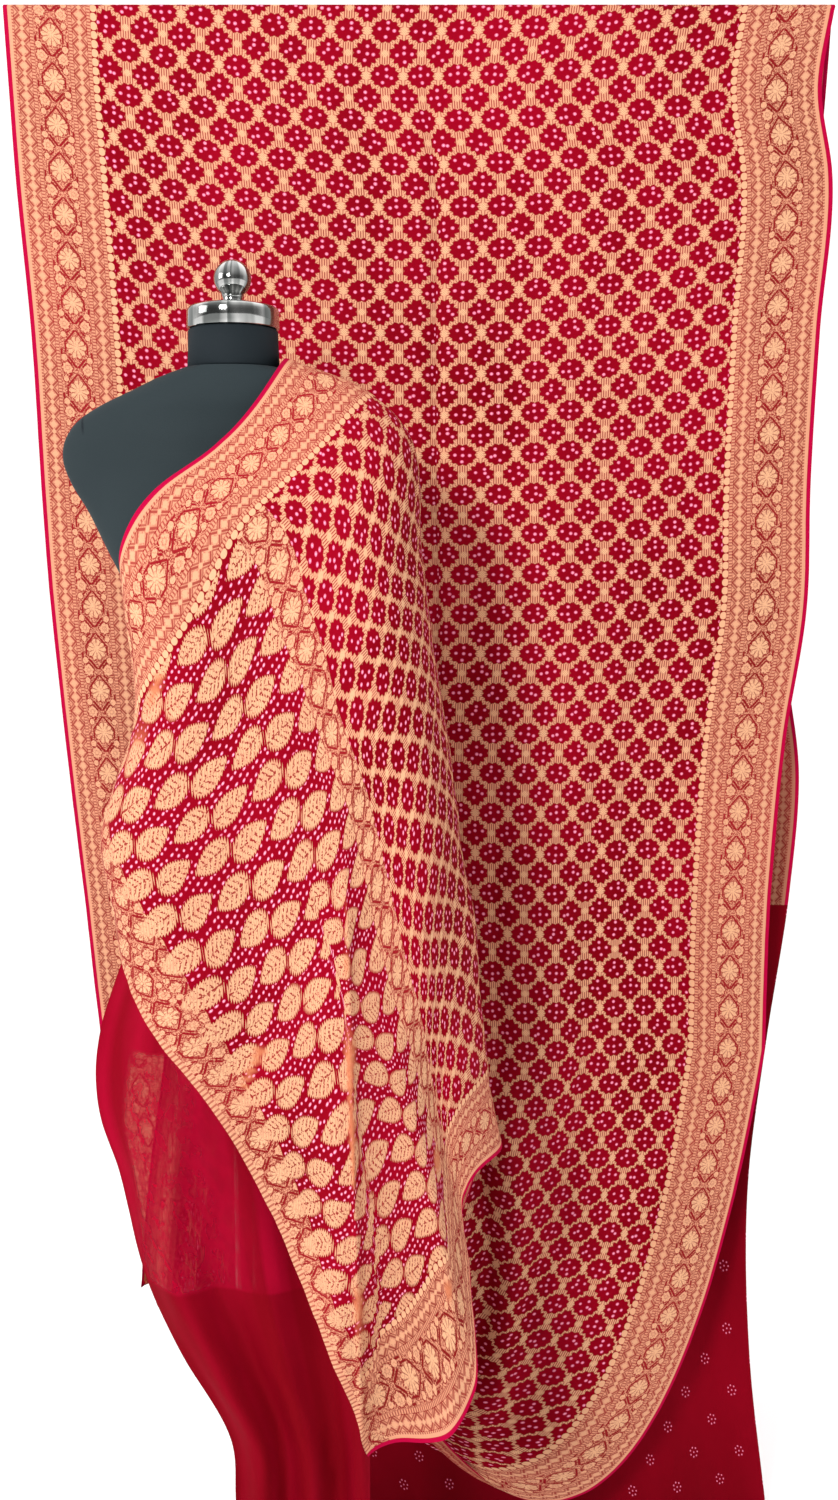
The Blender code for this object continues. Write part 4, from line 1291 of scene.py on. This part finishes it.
def ring_mesh(name, rings):
    """A closed mesh through rings of points, capped at both ends."""
    levels, sides, _ = rings.shape
    index = np.arange(levels * sides).reshape(levels, sides)
    following = np.roll(index, -1, axis=1)
    quads = np.stack([index[:-1], index[1:], following[1:], following[:-1]], axis=-1).reshape(-1, 4)
    faces = quads.tolist() + [index[0].tolist(), index[-1][::-1].tolist()]
    mesh = bpy.data.meshes.new(name)
    mesh.from_pydata(rings.reshape(-1, 3).tolist(), [], faces)
    mesh.shade_smooth()
    mesh.set_sharp_from_angle(angle=math.radians(50))
    return mesh


def turned_mesh(name, profile, sides=96):
    """A profile of (radius, height), top to bottom, turned about the form's upright axis."""
    angle = np.linspace(0, 2 * math.pi, sides, endpoint=False)[None, :]
    radius = np.array([r for r, _ in profile])[:, None]
    height = np.array([h for _, h in profile])[:, None]
    return ring_mesh(name, point(FORM_X + radius * np.cos(angle), FORM_Y + radius * np.sin(angle), height + 0 * angle))


cap_foot = NECK_TOP + GAP
ball_foot = CAP_TOP + GAP
pole_top = TORSO[-1].height - GAP
foot_top = FLOOR + FOOT_TALL
collar_top = pole_top - 0.060
NECK = [
    (NECK_RADIUS - 0.002, NECK_TOP),
    (NECK_RADIUS, NECK_TOP - 0.002),
    (NECK_RADIUS + 0.0005, (NECK_TOP + NECK_FOOT) / 2),
    (NECK_RADIUS + 0.0015, NECK_FOOT + 0.002),
    (NECK_RADIUS, NECK_FOOT + GAP),
]
CAP = [
    (0.0150, CAP_TOP - 0.0004),
    (CAP_RADIUS - 0.0120, CAP_TOP - 0.0020),
    (CAP_RADIUS - 0.0030, CAP_TOP - 0.0045),
    (CAP_RADIUS - 0.0006, CAP_TOP - 0.0070),
    (CAP_RADIUS, CAP_TOP - 0.0100),
    (CAP_RADIUS, cap_foot + 0.0015),
    (CAP_RADIUS - 0.0015, cap_foot),
]
ball_angles = [math.radians(degrees) for degrees in range(88, -56, -4)]
BALL = [(BALL_RADIUS * math.cos(a), BALL_HEIGHT + BALL_RADIUS * math.sin(a)) for a in ball_angles]
BALL += [(0.0115, ball_foot + 0.0050), (0.0140, ball_foot)]
POLE = [(POLE_RADIUS, pole_top), (POLE_RADIUS, foot_top + GAP)]
collar_foot = collar_top - COLLAR_TALL
ROUNDED = [(0.0020, 0.0), (0.0005, 0.0010), (0.0, 0.0030)]
COLLAR = [(COLLAR_RADIUS - inward, collar_top - down) for inward, down in ROUNDED]
COLLAR += [(COLLAR_RADIUS - inward, collar_foot + up) for inward, up in reversed(ROUNDED)]
COLLAR = [(POLE_RADIUS + GAP, collar_top), *COLLAR, (POLE_RADIUS + GAP, collar_foot)]
FOOT = [
    (0.0290, foot_top),
    (0.0310, foot_top - 0.0006),
    (0.0360, foot_top - 0.0120),
    (FOOT_RADIUS - 0.0150, foot_top - 0.0180),
    (FOOT_RADIUS - 0.0030, foot_top - 0.0200),
    (FOOT_RADIUS, foot_top - 0.0230),
    (FOOT_RADIUS, FLOOR),
]
jersey = jersey_material()
chrome = chrome_material()
angles, heights = np.meshgrid(
    np.linspace(0, 2 * math.pi, TORSO_SIDES, endpoint=False),
    np.linspace(TORSO[0].height, TORSO[-1].height, TORSO_ROWS),
)
torso_mesh = ring_mesh("padded_torso", torso_point(angles, heights))
add_piece("padded_torso", torso_mesh, [jersey], "form_torso")
add_piece("covered_neck", turned_mesh("covered_neck", NECK), [jersey], "form_neck")
CHROME_PIECES = table(
    "name profile node",
    ("chrome_cap", CAP, "neck_cap"),
    ("chrome_ball", BALL, "finial_ball"),
    ("chrome_pole", POLE, "stand_pole"),
    ("chrome_collar", COLLAR, "pole_collar"),
    ("chrome_foot", FOOT, "stand_base"),
)
for piece in CHROME_PIECES:
    add_piece(piece.name, turned_mesh(piece.name, piece.profile), [chrome], piece.node)


# ---------------------------------------------------------------- the studio
# A plain pale floor under soft light from in front, from the left, from above and from behind the cloth.
FLOOR_HALF = 14.0
FLOOR_WHITE = (0.97, 0.97, 0.97)
SKY_DIM = 0.17
SKY_BEHIND = 0.95
SKY_ABOVE = 0.85
LAMPS = table(
    "name place aim size power",
    ("key", (-1.15, -3.1, 0.35), (0.0, 0.0, -0.8), 0.7, 75.0),
    ("side", (-3.0, -1.2, 0.2), (0.0, 0.0, -1.0), 1.2, 20.0),
)

floor_mesh = bpy.data.meshes.new("pale_floor")
corners = [(x * FLOOR_HALF, y * FLOOR_HALF, FLOOR) for x, y in ((-1, -1), (1, -1), (1, 1), (-1, 1))]
floor_mesh.from_pydata(corners, [], [(0, 1, 2, 3)])
floor_material, floor_shader = new_material("pale_floor")
set_inputs(floor_shader, {"Base Color": FLOOR_WHITE, "Roughness": 0.9})
floor_mesh.materials.append(floor_material)
put_in_scene("pale_floor", floor_mesh)

world = bpy.data.worlds.new("studio")
bpy.context.scene.world = world
world.use_nodes = True
_, behind, above = axes(world.node_tree, add_node(world.node_tree, "TexCoord", {}).outputs["Generated"])
brightness = SKY_DIM + SKY_BEHIND * behind.rise(-0.35, 0.45) + SKY_ABOVE * above.rise(0.2, 1.0)
set_inputs(world.node_tree.nodes["Background"], {"Color": (1.0, 1.0, 1.0), "Strength": brightness})
bpy.context.scene.view_settings.view_transform = "Standard"

for lamp in LAMPS:
    data = bpy.data.lights.new(lamp.name, "AREA")
    data.size = lamp.size
    data.energy = lamp.power
    x, y, z = np.array(lamp.aim) - np.array(lamp.place)
    turned = (math.atan2(math.hypot(x, y), -z), 0.0, math.atan2(y, x) - math.pi / 2)
    put_in_scene(lamp.name, data, lamp.place, turned)
